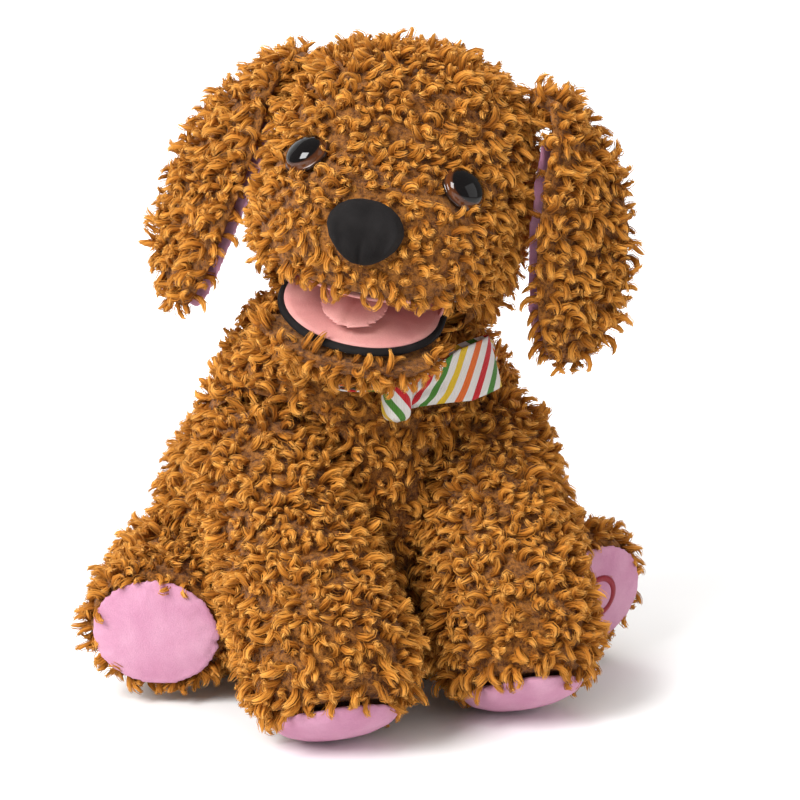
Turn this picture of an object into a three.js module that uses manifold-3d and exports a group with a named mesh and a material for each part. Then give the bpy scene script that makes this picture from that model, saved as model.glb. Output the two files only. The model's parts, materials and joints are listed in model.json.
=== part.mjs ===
// A seated, interactive plush puppy: curly plush skin over stuffing, a turning head with a motor-driven
// jaw, two flap ears, four swinging legs, a wagging tail, a bowed ribbon and a sound box with three AA cells.
// Millimetres, +Z up. The puppy looks along -Y, and +X is its own left. Z = 0 is the seat it sits on.
import * as THREE from "three";
import { ConvexGeometry } from "three/addons/geometries/ConvexGeometry.js";
import { mergeVertices } from "three/addons/utils/BufferGeometryUtils.js";
import Module from "manifold-3d";

const wasm = await Module();
wasm.setup();

const rad = THREE.MathUtils.degToRad;
const at = (x, y, z) => new THREE.Vector3(x, y, z);

// Cloth and clearances
const SKIN = 3; // plush fabric with its backing
const GAP = 0.4; // between two pieces that lie together
const SWING = 1.7; // round a soft part that swings in its pocket

// Head: the centre of the skull, and how the whole head is turned and tipped at rest
const HEAD_CENTRE = at(6.5, -32, 202);
const HEAD_TURN = -24.5;
const HEAD_TIP = 12;
const SKULL = { centre: at(0, 0, 0), radii: at(52, 55, 59), power: 2.7 };
const MUZZLE = { centre: at(0, -42, -14), radii: at(46, 38, 34), power: 2.2 };
const FACE_BLEND = 16;
const NOSE_RADII = at(14.5, 8, 12);
const EYE_RADIUS = 9;
const EYE_AIM = at(22.8, -34, 6.2);

// Neck: a post that turns in a socket, along the head's own up axis
const NECK_PIVOT = at(0, 10, -55);
const NECK_RANGE = 15;
const POST_RADIUS = 6;

// Jaw: hinge line across the head, and the angles below level at rest and shut
const JAW_HINGE = at(0, -15, -30);
const JAW_REST = 26;
const JAW_SHUT = 13;
const JAW_OPENS = 4;
const JAW_LENGTH = 57;
const JAW_HALF = 30;
const CHIN = { centre: at(-1, -54, -50), radii: at(39, 22, 18), power: 2 };
const THROAT = { centre: at(0, -34, -42), radii: at(33, 24, 11), power: 2 };

// Jaw drive: a toothed sector on the jaw and the motor's pinion
const MODULE = 1;
const SECTOR_TEETH = 48;
const PINION_TEETH = 12;
const MESH_ANGLE = 60;
const GEAR_FROM = 12.3;
const GEAR_WIDTH = 3.4;

// Ears: the middle line from the sewn root to the tip, in the head's axes with X outwards
const EAR_LINE = {
  left: [[45, -3, 49], [56, -5, 47], [68, -7, 30], [76, -9, 4], [80, -11, -25], [79, -12, -50]],
  right: [[45, -3, 45], [54, -5, 41], [65, -7, 24], [74, -9, -6], [78, -11, -37], [76, -12, -61]],
};
const EAR_HALF = 27;
const EAR_WIDTHS = [
  [0, 0.42],
  [0.1, 0.56],
  [0.2, 0.72],
  [0.32, 0.88],
  [0.5, 1],
  [0.7, 0.99],
  [0.85, 0.82],
  [0.95, 0.55],
  [1, 0.3],
];

// Legs: pivots in the shoulders and hips, and where the paws lie
const SHOULDER = at(48, -24, 91);
const FRONT_PAW = { left: at(38, -86, 31), right: at(-41, -98, 31) };
const FRONT_RADII = [29, 33];
const FRONT_SOLE_FACES = at(0, -0.45, -0.893);
const FRONT_SOLE_DEPTH = 20;
const FRONT_RAISE = 25;
const HIP = at(71, 20, 41);
const HIND_SOLE = { left: at(93, -37, 31), right: at(-96, -38, 31) };
const HIND_RADII = [28, 28];
const HIND_OVAL = [1.08, 0.94];
const HIND_SWING = [0, 12];

// Tail
const TAIL_PIVOT = at(0, 82, 30);
const TAIL_TIP = at(0, 106, 42);
const TAIL_RADII = [11, 8];
const TAIL_SWING = 15;

// Torso: height, half width, half depth and centre of each level section
const TORSO = [
  [0, 66, 53, 20],
  [6, 75, 60, 19.5],
  [16, 82, 64, 19],
  [32, 87, 66, 17.5],
  [50, 88, 65, 15],
  [70, 85, 61, 10],
  [90, 79, 56, 5],
  [106, 71.5, 52, 0],
  [120, 65.5, 49, -5],
  [132, 59.5, 47, -7],
  [143, 53.5, 45, -6],
  [152, 47, 42, -4],
  [159, 36, 34, -2],
];
const COLS = 24;

// Sound box: three AA cells side by side under a circuit board and a speaker
const CELL = { radius: 7.25, length: 50.5, pitch: 14.9 };
const BOX = { x: [-34.5, 35], y: [8, 56], z: [1, 22] };
const CELL_BAY = [-33, 24];
const COVER_TOP = 44;

// Collar and bow
const RIBBON_WIDTH = 20;
const RIBBON = 1;
const collarHeight = (x, y) => 140 + 0.07 * x + 0.19 * y;

const FINISH = {
  fur: [0xb27a38, 0.95, 0],
  sole: [0xe7a0cb, 0.85, 0],
  mouth: [0xe693b4, 0.85, 0],
  black_cloth: [0x141214, 0.9, 0],
  eye: [0x120b08, 0.08, 0],
  frame: [0xd9d6cf, 0.5, 0],
  case: [0x2b2c30, 0.55, 0],
  steel: [0xb4b6ba, 0.35, 0.9],
  stuffing: [0xf1efe9, 1, 0],
  gear: [0xf3f1ea, 0.45, 0],
  ribbon: [0xf4f1ec, 0.7, 0],
  cell: [0x3d4a52, 0.4, 0.3],
  board: [0x1f5a38, 0.5, 0],
  button: [0xb3202c, 0.5, 0],
};

// ---- Solids ----

// A closed geometry as a solid that can be joined and cut.
function solidOf(geometry, matrix) {
  const plain = geometry.clone();
  if (matrix) plain.applyMatrix4(matrix);
  plain.deleteAttribute("normal");
  plain.deleteAttribute("uv");
  const merged = mergeVertices(plain, 1e-4);
  const triVerts = new Uint32Array(merged.index.array);
  const vertProperties = new Float32Array(merged.attributes.position.array);
  return new wasm.Manifold(new wasm.Mesh({ numProp: 3, vertProperties, triVerts }));
}

function geometryOf(solid) {
  const mesh = solid.getMesh();
  const geometry = new THREE.BufferGeometry();
  geometry.setAttribute("position", new THREE.BufferAttribute(mesh.vertProperties, 3));
  geometry.setIndex(new THREE.BufferAttribute(mesh.triVerts, 1));
  const faceted = geometry.toNonIndexed();
  faceted.computeVertexNormals();
  return faceted;
}

// The largest separate piece of a solid.
function largest(solid) {
  const pieces = solid.decompose();
  return pieces.sort((a, b) => b.volume() - a.volume())[0];
}

function cut(solid, ...cutters) {
  return cutters.reduce((left, cutter) => left.subtract(cutter), solid);
}

function join(first, ...others) {
  return others.reduce((sum, other) => sum.add(other), first);
}

// A box between two corners.
function block(x, y, z) {
  const geometry = new THREE.BoxGeometry(x[1] - x[0], y[1] - y[0], z[1] - z[0]);
  geometry.translate((x[0] + x[1]) / 2, (y[0] + y[1]) / 2, (z[0] + z[1]) / 2);
  return solidOf(geometry);
}

// A turned solid about Z from [radius, height] pairs that climb.
function turned(profile, cols) {
  const points = profile.map(([radius, height]) => new THREE.Vector2(radius, height));
  const geometry = new THREE.LatheGeometry(points, cols);
  geometry.rotateX(Math.PI / 2);
  return solidOf(geometry);
}

function rod(radius, from, to, cols = 16) {
  return turned([[0, from], [radius, from], [radius, to], [0, to]], cols);
}

function ring(inner, outer, from, to, cols = 20) {
  return rod(outer, from, to, cols).subtract(rod(inner, from - 1, to + 1, cols));
}

// A flat shape, given as [x, y] points, drawn up from one height to another.
function slab(points, from, to) {
  const shape = new THREE.Shape(points.map(([x, y]) => new THREE.Vector2(x, y)));
  const geometry = new THREE.ExtrudeGeometry(shape, { depth: to - from, bevelEnabled: false });
  geometry.translate(0, 0, from);
  return solidOf(geometry);
}

// A shape in the YZ plane, given as [y, z] points, drawn along X.
function profileAlongX(points, from, to) {
  const stand = new THREE.Matrix4().makeBasis(at(0, 1, 0), at(0, 0, 1), at(1, 0, 0));
  return moved(slab(points, from, to), stand);
}

function moved(solid, matrix) {
  return solidOf(geometryOf(solid), matrix);
}

// The matrix that takes local axes x, y, z to the given directions at a point.
function axesAt(origin, x, y, z) {
  return new THREE.Matrix4().makeBasis(x, y, z).setPosition(origin);
}

// The matrix that stands a turned solid's Z along a direction, with its X level.
function alongMatrix(origin, direction) {
  const z = direction.clone().normalize();
  const x = new THREE.Vector3().crossVectors(at(0, 0, 1), z).normalize();
  const y = new THREE.Vector3().crossVectors(z, x);
  return axesAt(origin, x, y, z);
}

// A turn about an axis through a point.
function turnAbout(pivot, axis, degrees) {
  const turn = new THREE.Matrix4().makeRotationAxis(axis.clone().normalize(), rad(degrees));
  const back = new THREE.Matrix4().makeTranslation(-pivot.x, -pivot.y, -pivot.z);
  return new THREE.Matrix4().makeTranslation(pivot.x, pivot.y, pivot.z).multiply(turn).multiply(back);
}

function pointsOf(solid) {
  const mesh = solid.getMesh();
  const points = [];
  for (let i = 0; i < mesh.vertProperties.length; i += 3) {
    points.push(new THREE.Vector3().fromArray(mesh.vertProperties, i));
  }
  return points;
}

// The convex room a solid needs while it turns about an axis through several angles.
function sweptRoom(solid, pivot, axis, angles) {
  const corners = pointsOf(solid);
  const points = angles.flatMap((degrees) => {
    const turn = turnAbout(pivot, axis, degrees);
    return corners.map((corner) => corner.clone().applyMatrix4(turn));
  });
  return solidOf(new ConvexGeometry(points));
}

// ---- Rounded soft shapes ----

// Roughly how far a point is outside an ellipsoid. A power over 2 squares its shoulders.
function beyond(point, { centre, radii, power }) {
  const local = point.clone().sub(centre).divide(radii).toArray().map(Math.abs);
  const reach = local.reduce((sum, share) => sum + share ** power, 0) ** (1 / power);
  if (reach === 0) return -radii.x;
  const slopes = local.map((share, i) => (share / reach) ** (power - 1) / radii.getComponent(i));
  return (reach - 1) / Math.hypot(...slopes);
}

// Two distances run into each other over a blend width.
function blended(a, b, width) {
  const share = Math.max(width - Math.abs(a - b), 0) / width;
  return Math.min(a, b) - (share * share * width) / 4;
}

// Where a ray from inside leaves a shape grown by an offset.
function surfacePoint(from, direction, distance, offset = 0) {
  let near = 0;
  let far = 200;
  for (let i = 0; i < 40; i += 1) {
    const middle = (near + far) / 2;
    const point = from.clone().addScaledVector(direction, middle);
    if (distance(point) > offset) far = middle;
    else near = middle;
  }
  return from.clone().addScaledVector(direction, near);
}

// A closed skin round a centre, at an offset from a shape.
function swell(centre, distance, offset, cols, rows) {
  const geometry = new THREE.SphereGeometry(1, cols, rows);
  geometry.rotateX(Math.PI / 2);
  const position = geometry.attributes.position;
  const direction = new THREE.Vector3();
  for (let i = 0; i < position.count; i += 1) {
    direction.fromBufferAttribute(position, i).normalize();
    const point = surfacePoint(centre, direction, distance, offset);
    position.setXYZ(i, point.x, point.y, point.z);
  }
  return solidOf(geometry);
}

const headDistance = (p) => blended(beyond(p, SKULL), beyond(p, MUZZLE), FACE_BLEND);
const headForm = (offset) => swell(at(0, -16, -4), headDistance, offset, 24, 16);
const chinDistance = (p) => blended(beyond(p, CHIN), beyond(p, THROAT), 10);

// Outward direction of the head's surface at a point on it.
function headNormal(point) {
  const step = 0.5;
  const slope = (along) =>
    headDistance(point.clone().add(along)) - headDistance(point.clone().sub(along));
  return at(slope(at(step, 0, 0)), slope(at(0, step, 0)), slope(at(0, 0, step))).normalize();
}

// One level ring of the torso, drawn in by an inset.
function torsoRing([z, halfWidth, halfDepth, centreY], inset, cols) {
  const points = [];
  for (let i = 0; i < cols; i += 1) {
    const turn = (i / cols) * 2 * Math.PI;
    const x = (halfWidth - inset) * Math.cos(turn);
    const y = centreY + (halfDepth - inset) * Math.sin(turn);
    points.push(at(x, y, z));
  }
  return points;
}

// Rings of equal count, bottom to top, closed with a fan at each end.
function lofted(rings) {
  const cols = rings[0].length;
  const vertices = rings.flat();
  const faces = [];
  for (let row = 0; row + 1 < rings.length; row += 1) {
    for (let i = 0; i < cols; i += 1) {
      const a = row * cols + i;
      const b = row * cols + ((i + 1) % cols);
      faces.push(a, b, b + cols, a, b + cols, a + cols);
    }
  }
  const top = (rings.length - 1) * cols;
  for (let i = 1; i + 1 < cols; i += 1) {
    faces.push(0, i + 1, i);
    faces.push(top, top + i, top + i + 1);
  }
  const geometry = new THREE.BufferGeometry().setFromPoints(vertices);
  geometry.setIndex(faces);
  return solidOf(geometry);
}

function torsoForm(inset) {
  const first = inset === 0 ? 0 : inset;
  const sections = TORSO.map(([z, ...rest], i) => {
    if (i === 0) return [first, ...rest];
    if (i === TORSO.length - 1) return [z - inset, ...rest];
    return [z, ...rest];
  });
  return lofted(sections.map((section) => torsoRing(section, inset, COLS)));
}

// Half width, half depth and centre of the torso at a height.
function torsoAt(height) {
  const found = TORSO.findIndex(([z]) => z >= height);
  const above = found < 0 ? TORSO.length - 1 : Math.max(1, found);
  const low = TORSO[above - 1];
  const high = TORSO[above];
  const share = (height - low[0]) / (high[0] - low[0]);
  return [1, 2, 3].map((i) => low[i] + share * (high[i] - low[i]));
}

// A limb along Z: a ball at the pivot, running out to a rounded paw or a flat foot.
function limbForm(length, [root, foot], grow, flatFoot, cols, steps = 4) {
  const profile = [];
  for (let step = 0; step <= steps; step += 1) {
    const turn = (step / steps) * (Math.PI / 2);
    profile.push([(root + grow) * Math.sin(turn), -(root + grow) * Math.cos(turn)]);
  }
  profile.push([(root + foot) / 2 + grow, length * 0.5]);
  if (flatFoot) {
    profile.push([foot + 0.5 + grow, length - 10]);
    profile.push([foot + grow, length - 4 + grow]);
    profile.push([foot - 3 + grow, length + grow]);
    profile.push([0, length + grow]);
  } else {
    for (let step = 0; step <= steps; step += 1) {
      const turn = (step / steps) * (Math.PI / 2);
      profile.push([(foot + grow) * Math.cos(turn), length + (foot + grow) * Math.sin(turn)]);
    }
  }
  profile[0][0] = 0;
  profile[profile.length - 1][0] = 0;
  return turned(profile, cols);
}

// ---- Pieces ----

const group = new THREE.Group();
group.name = "plush_puppy";

const head = new THREE.Group();
head.name = "head_group";
head.position.copy(HEAD_CENTRE);
head.rotation.set(0, rad(HEAD_TIP), rad(HEAD_TURN), "ZYX");
group.add(head);
head.updateMatrixWorld(true);
const headMatrix = head.matrixWorld.clone();

const jaw = new THREE.Group();
jaw.name = "jaw_group";
jaw.position.copy(JAW_HINGE);
jaw.rotation.set(rad(JAW_REST), 0, 0);
head.add(jaw);

const palate = new THREE.Group();
palate.name = "palate_group";
palate.position.copy(JAW_HINGE);
palate.rotation.set(rad(JAW_SHUT), 0, 0);
head.add(palate);

jaw.updateMatrix();
palate.updateMatrix();
const palateMatrix = palate.matrix.clone();
const headToPalate = palateMatrix.clone().invert();
const headToJaw = jaw.matrix.clone().invert();
const neckMatrix = headMatrix.clone().multiply(new THREE.Matrix4().setPosition(NECK_PIVOT));
const neckPoint = NECK_PIVOT.clone().applyMatrix4(headMatrix);
const neckAxis = at(0, 0, 1).transformDirection(headMatrix);

function piece(name, solid, finish, parent = group) {
  const [color, roughness, metalness] = FINISH[finish];
  const material = new THREE.MeshStandardMaterial({ color, roughness, metalness });
  const mesh = new THREE.Mesh(geometryOf(solid), material);
  mesh.name = name;
  parent.add(mesh);
  return mesh;
}

// The leg on one side: its pivot, the way it runs and how long it is.
function legLine(pivot, end) {
  const run = end.clone().sub(pivot);
  return { pivot, run, length: run.length(), matrix: alongMatrix(pivot, run) };
}

function frontLine(side) {
  const sign = side === "left" ? 1 : -1;
  return legLine(at(sign * SHOULDER.x, SHOULDER.y, SHOULDER.z), FRONT_PAW[side]);
}

function hindLine(side) {
  const sign = side === "left" ? 1 : -1;
  return legLine(at(sign * HIP.x, HIP.y, HIP.z), HIND_SOLE[side]);
}

const tailLine = legLine(TAIL_PIVOT, TAIL_TIP);

// Oval scaling across a hind leg, level and upright.
const ovalMatrix = new THREE.Matrix4().makeScale(HIND_OVAL[0], HIND_OVAL[1], 1);

// Rooms in the torso for the parts that swing in it, each grown by a clearance.
function swingRooms(clearance) {
  const grow = clearance + 1.2;
  const rooms = [];
  for (const side of ["left", "right"]) {
    const sign = side === "left" ? 1 : -1;
    const front = frontLine(side);
    const frontForm = moved(limbForm(front.length, FRONT_RADII, grow, false, 9, 3), front.matrix);
    rooms.push(sweptRoom(frontForm, front.pivot, at(1, 0, 0), [0, -FRONT_RAISE]));
    const hind = hindLine(side);
    const hindForm = limbForm(hind.length, HIND_RADII, grow, true, 9, 3);
    const hindPlaced = moved(hindForm, hind.matrix.clone().multiply(ovalMatrix));
    const swings = HIND_SWING.map((degrees) => degrees * sign);
    rooms.push(sweptRoom(hindPlaced, hind.pivot, at(0, 0, 1), swings));
  }
  const tailForm = limbForm(tailLine.length, TAIL_RADII, clearance + 0.4, false, 8, 2);
  const tailPlaced = moved(tailForm, tailLine.matrix);
  rooms.push(sweptRoom(tailPlaced, TAIL_PIVOT, at(0, 0, 1), [-TAIL_SWING, TAIL_SWING]));
  return rooms;
}

// The room the turning head needs over the shoulders, with its jaw wide open.
function headRoom(grow) {
  const skull = swell(at(0, -2, -4), (p) => beyond(p, SKULL), grow + 0.6, 20, 14);
  const chin = swell(at(0, -48, -46), chinDistance, grow, 12, 8);
  const opened = turnAbout(JAW_HINGE, at(1, 0, 0), JAW_OPENS);
  const parts = [moved(skull, headMatrix), moved(chin, headMatrix.clone().multiply(opened))];
  const angles = [-NECK_RANGE, 0, NECK_RANGE];
  return parts.map((part) => sweptRoom(part, neckPoint, neckAxis, angles));
}

function torsoPieces() {
  const reach = (x, by) => [x[0] - by, x[1] + by];
  const hatch = block(reach(BOX.x, GAP), reach(BOX.y, GAP), [-1, SKIN + 2]);
  const neckHole = moved(rod(12.5, -30, 20), neckMatrix);
  const shape = (inset, extra) =>
    cut(torsoForm(inset), ...swingRooms(SWING + extra), ...headRoom(SWING + extra));
  const inside = largest(shape(SKIN, SKIN));
  piece("torso_skin", largest(cut(shape(0, 0), inside, hatch, neckHole)), "fur");

  const boxRoom = block(reach(BOX.x, 1), reach(BOX.y, 1), [0, COVER_TOP + 1]);
  const neckRoom = moved(rod(18.5, -44, 30), neckMatrix);
  const fill = cut(shape(SKIN + GAP, SKIN + GAP), boxRoom, neckRoom);
  piece("torso_stuffing", largest(fill), "stuffing");
}

// The post turns with the head. The socket stays in the torso.
function neckPieces() {
  const socket = cut(
    join(rod(10.5, -36.3, -5, 16), rod(14, -36.3, -33, 16)),
    rod(POST_RADIUS + 0.6, -40, 0, 16),
  );
  const post = join(
    rod(POST_RADIUS, -37, 7.6, 16),
    rod(4.5, -40.5, -36, 16),
    rod(10, 5, 7.6, 16),
  );
  piece("neck_socket", moved(socket, neckMatrix), "frame");
  piece("neck_post", moved(post, neckMatrix), "frame");
  piece("neck_clip", moved(ring(4.9, 9, -39.6, -37.6), neckMatrix), "steel");
}

// A tongue-shaped outline that opens to the hinge and rounds off at the lips.
function mouthOutline(half, length, back) {
  const front = half * 0.92;
  const points = [[-half, -back]];
  for (let step = 0; step <= 12; step += 1) {
    const turn = Math.PI + (step / 12) * Math.PI;
    points.push([half * Math.cos(turn), -length + front + front * Math.sin(turn)]);
  }
  points.push([half, -back]);
  return points;
}

// Everything in front of the throat and under the roof of the mouth.
function mouthRoom(roof) {
  const ahead = (back, height) => at(0, back, height).applyMatrix4(palateMatrix);
  const rear = ahead(8, roof);
  const front = ahead(-84, roof);
  const corners = [[front.y, front.z], [front.y, -95], [rear.y, -95], [rear.y, rear.z]];
  return profileAlongX(corners, -80, 80);
}

function eyePlace(side) {
  const sign = side === "left" ? 1 : -1;
  const from = at(0, -12, 4);
  const aim = at(sign * EYE_AIM.x, EYE_AIM.y, EYE_AIM.z).normalize();
  const point = surfacePoint(from, aim, headDistance);
  const normal = headNormal(point);
  return alongMatrix(point.addScaledVector(normal, -1), normal);
}

function headPieces() {
  const places = ["left", "right"].map(eyePlace);
  const eyeHoles = places.flatMap((place) => [
    moved(rod(EYE_RADIUS + 0.7, -GAP, 14, 20), place),
    moved(rod(2.4, -8, 1, 10), place),
  ]);
  const neckHole = moved(rod(9, -20, 8), new THREE.Matrix4().setPosition(NECK_PIVOT));
  const skin = cut(headForm(0), headForm(-SKIN), mouthRoom(7.4), neckHole, ...eyeHoles);
  piece("head_skin", largest(skin), "fur", head);

  const works = block([-36.5, 36.5], [-30, 23], [-80, 12]);
  const washers = places.flatMap((place) => [
    moved(rod(8.6, -9.5, 2, 12), place),
    moved(rod(EYE_RADIUS + 1, -1, 14, 12), place),
  ]);
  const fill = cut(headForm(-SKIN - GAP), mouthRoom(12.6), works, ...washers);
  piece("head_stuffing", largest(fill), "stuffing", head);

  const stem = [[0, -7], [1.8, -7], [1.8, 0]];
  const dome = [[EYE_RADIUS, 0], [8.4, 2.8], [5.4, 5.2], [0, 6.1]];
  ["left", "right"].forEach((side, i) => {
    piece(`eye_${side}`, moved(turned([...stem, ...dome], 16), places[i]), "eye", head);
    piece(`eye_washer_${side}`, moved(ring(2.2, 7.5, -5.6, -4, 16), places[i]), "frame", head);
  });

  const nosePoint = surfacePoint(at(0, -16, -9.5), at(0, -1, 0), headDistance);
  const lump = { centre: nosePoint, radii: NOSE_RADII, power: 2.2 };
  const nose = swell(nosePoint, (p) => beyond(p, lump), 0, 16, 10);
  piece("nose", largest(nose.subtract(headForm(GAP))), "black_cloth", head);
}

// Frame behind the mouth: cheeks for the jaw pin, a rear wall, a motor saddle and a floor on the neck post.
function headFramePieces() {
  const pinHole = profileAlongX(circlePoints(JAW_HINGE.y, JAW_HINGE.z, 1.9, 12), -40, 40);
  const frame = join(
    block([-34.5, 34.5], [11, 14], [-30, -6]),
    cheekPlate([-34.5, -31.5]),
    cheekPlate([31.5, 34.5]),
    block([-10, 10], [11, 14], [-46.9, -28]),
    moved(rod(11.5, -46.9, -44.5, 20), new THREE.Matrix4().setPosition(at(0, NECK_PIVOT.y, 0))),
    block([-17, 6], [8.5, 12], [-11, 3]),
  );
  piece("head_frame", frame.subtract(pinHole), "frame", head);
  const pin = profileAlongX(circlePoints(JAW_HINGE.y, JAW_HINGE.z, 1.5, 12), -36, 36);
  piece("jaw_pin", pin, "steel", head);
  const inner = headForm(-SKIN - GAP);
  const inPalate = moved(inner, headToPalate);
  const plate = slab(mouthOutline(JAW_HALF + 1, JAW_LENGTH, 9), 9.6, 12.1);
  const lining = slab(mouthOutline(JAW_HALF + 2, JAW_LENGTH + 1, 9), 7.8, 9.2);
  piece("palate_plate", largest(plate.intersect(inPalate)), "frame", palate);
  piece("palate_lining", largest(lining.intersect(inPalate)), "mouth", palate);
}

// A cheek plate that drops at the front to hold the jaw pin.
function cheekPlate(x) {
  return profileAlongX([[-20, -34.5], [-10, -34.5], [14, -24], [14, -6], [-20, -6]], x[0], x[1]);
}

function circlePoints(x, y, radius, count) {
  const points = [];
  for (let i = 0; i < count; i += 1) {
    const turn = (i / count) * 2 * Math.PI;
    points.push([x + radius * Math.cos(turn), y + radius * Math.sin(turn)]);
  }
  return points;
}

// Straight-flanked gear teeth round a centre, with the backlash taken off each flank.
function gearOutline(teeth, firstAngle, count) {
  const pitch = (MODULE * teeth) / 2;
  const step = 360 / teeth;
  const levels = [
    [pitch - 1.2 * MODULE, 1.0],
    [pitch - 0.1 * MODULE, 0.69],
    [pitch + 0.85 * MODULE, 0.34],
  ];
  const points = [];
  for (let tooth = 0; tooth < count; tooth += 1) {
    const middle = firstAngle + tooth * step;
    for (const [radius, half] of levels) {
      points.push([radius, middle - THREE.MathUtils.radToDeg(half / radius)]);
    }
    for (const [radius, half] of [...levels].reverse()) {
      points.push([radius, middle + THREE.MathUtils.radToDeg(half / radius)]);
    }
  }
  return points.map(([radius, angle]) => [radius * Math.cos(rad(angle)), radius * Math.sin(rad(angle))]);
}

function jawPieces() {
  const tooth = 360 / SECTOR_TEETH;
  const sectorStart = MESH_ANGLE - 2 * tooth - JAW_REST;
  const teeth = gearOutline(SECTOR_TEETH, sectorStart, 6);
  const sector = profileAlongX([[2, -3], ...teeth, [-3, 3]], GEAR_FROM, GEAR_FROM + GEAR_WIDTH);
  const sleeve = profileAlongX(circlePoints(0, 0, 4, 14), -29.5, 29.5);
  const bore = profileAlongX(circlePoints(0, 0, 1.9, 12), -40, 40);
  const plate = slab(mouthOutline(JAW_HALF - 0.5, JAW_LENGTH - 1, 2), -2.5, 0);
  piece("jaw_plate", join(plate, sleeve, sector).subtract(bore), "frame", jaw);

  piece("jaw_lining", slab(mouthOutline(JAW_HALF - 1, JAW_LENGTH - 1.5, 7), 0.3, 1.8), "mouth", jaw);
  const tongue = { centre: at(-2, -34, 4.7), radii: at(14, 20, 2.5), power: 2 };
  piece("tongue", swell(tongue.centre, (p) => beyond(p, tongue), 0, 14, 8), "mouth", jaw);

  const lip = mouthOutline(JAW_HALF + 1.4, JAW_LENGTH + 1.2, 14);
  const path = new THREE.CatmullRomCurve3(lip.map(([x, y]) => at(x, y, -1)));
  const round = new THREE.Shape(circlePoints(0, 0, 1.35, 7).map(([x, y]) => new THREE.Vector2(x, y)));
  const piping = new THREE.ExtrudeGeometry(round, { steps: 20, extrudePath: path, bevelEnabled: false });
  piece("lip_piping", solidOf(piping), "black_cloth", jaw);

  const chin = moved(swell(at(0, -48, -46), chinDistance, 0, 20, 12), headToJaw);
  const underPlate = block([-60, 60], [-100, -5], [-60, -2.9]);
  const cheekSlots = [-1, 1].map((sign) => {
    const x = sign > 0 ? [30.6, 60] : [-60, -30.6];
    return block(x, [-18, 20], [-60, 20]);
  });
  piece("chin_plush", largest(cut(chin.intersect(underPlate), ...cheekSlots)), "fur", jaw);
}

// The motor can lies across the head, and its shaft carries the pinion.
function drivePieces() {
  const distance = (MODULE * (SECTOR_TEETH + PINION_TEETH)) / 2;
  const y = JAW_HINGE.y + distance * Math.cos(rad(MESH_ANGLE));
  const z = JAW_HINGE.z + distance * Math.sin(rad(MESH_ANGLE));
  const facing = MESH_ANGLE + 180 + 180 / PINION_TEETH;
  const outline = gearOutline(PINION_TEETH, facing, PINION_TEETH);
  const gear = profileAlongX(outline, GEAR_FROM, GEAR_FROM + GEAR_WIDTH);
  const shaft = profileAlongX(circlePoints(0, 0, 1, 10), -2, GEAR_FROM + GEAR_WIDTH + 1);
  const place = new THREE.Matrix4().makeTranslation(0, y, z);
  piece("jaw_pinion", moved(gear.add(shaft), place), "gear", head);
  const can = join(
    profileAlongX(circlePoints(0, 0, 8, 20), -20, 7),
    profileAlongX(circlePoints(0, 0, 3.2, 14), 6, 9),
  );
  const bore = profileAlongX(circlePoints(0, 0, 1.4, 10), -4, 12);
  piece("jaw_motor", moved(can.subtract(bore), place), "steel", head);
}

// A padded flap that follows the ear's line: a band of rings, each as wide as the ear is there.
function earFlap(side, sideways, thickness, wide, from = 0) {
  const sign = side === "left" ? 1 : -1;
  const line = new THREE.CatmullRomCurve3(EAR_LINE[side].map(([x, y, z]) => at(sign * x, y, z)));
  const rings = EAR_WIDTHS.filter(([share]) => share >= from).map(([share, width]) => {
    const down = line.getTangentAt(share);
    const turn = Math.min(share / 0.35, 1);
    const across = at(sign * (0.1 + 0.58 * turn), 1 - 0.28 * turn, 0);
    across.addScaledVector(down, -across.dot(down)).normalize();
    const outward = new THREE.Vector3().crossVectors(down, across).multiplyScalar(sign);
    const centre = line.getPointAt(share).addScaledVector(outward, sideways);
    const thin = share > 0.9 ? 0.7 : 1;
    return circlePoints(0, 0, 1, 10).map(([u, v]) =>
      centre
        .clone()
        .addScaledVector(across, Math.sign(u) * Math.abs(u) ** 0.8 * width * wide)
        .addScaledVector(outward, v * thickness * 0.5 * thin),
    );
  });
  return lofted(rings.map((ring) => (sign > 0 ? ring : ring.reverse())));
}

function earPieces(side) {
  const lining = earFlap(side, -4.6, 2.4, EAR_HALF - 1, 0.2);
  const backing = earFlap(side, 1.1, 9.2, EAR_HALF + 4);
  piece(`ear_plush_${side}`, earFlap(side, 1.2, 8.4, EAR_HALF), "fur", head);
  piece(`ear_lining_${side}`, largest(cut(lining, backing, headForm(GAP))), "sole", head);
}

// Everything on the far side of a plane, as a thick disc to cut with.
function farSide(point, normal) {
  return moved(rod(70, 0, 80, 12), alongMatrix(point, normal));
}

function frontLegPieces(side) {
  const line = frontLine(side);
  const paw = FRONT_PAW[side];
  const normal = FRONT_SOLE_FACES.clone().normalize();
  const solePoint = paw.clone().addScaledVector(normal, FRONT_SOLE_DEPTH);
  const form = moved(limbForm(line.length, FRONT_RADII, 0, false, 16), line.matrix);
  const ground = block([-200, 200], [-200, 200], [-60, 0.4]);
  piece(`front_leg_${side}`, cut(form, farSide(solePoint, normal), ground), "fur");
  const pad = turned([[0, 0.4], [23.8, 0.4], [24.6, 1.6], [21, 5.2], [13, 8], [0, 9.4]], 20);
  piece(`front_sole_${side}`, cut(moved(pad, alongMatrix(solePoint, normal)), ground), "sole");
}

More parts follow.
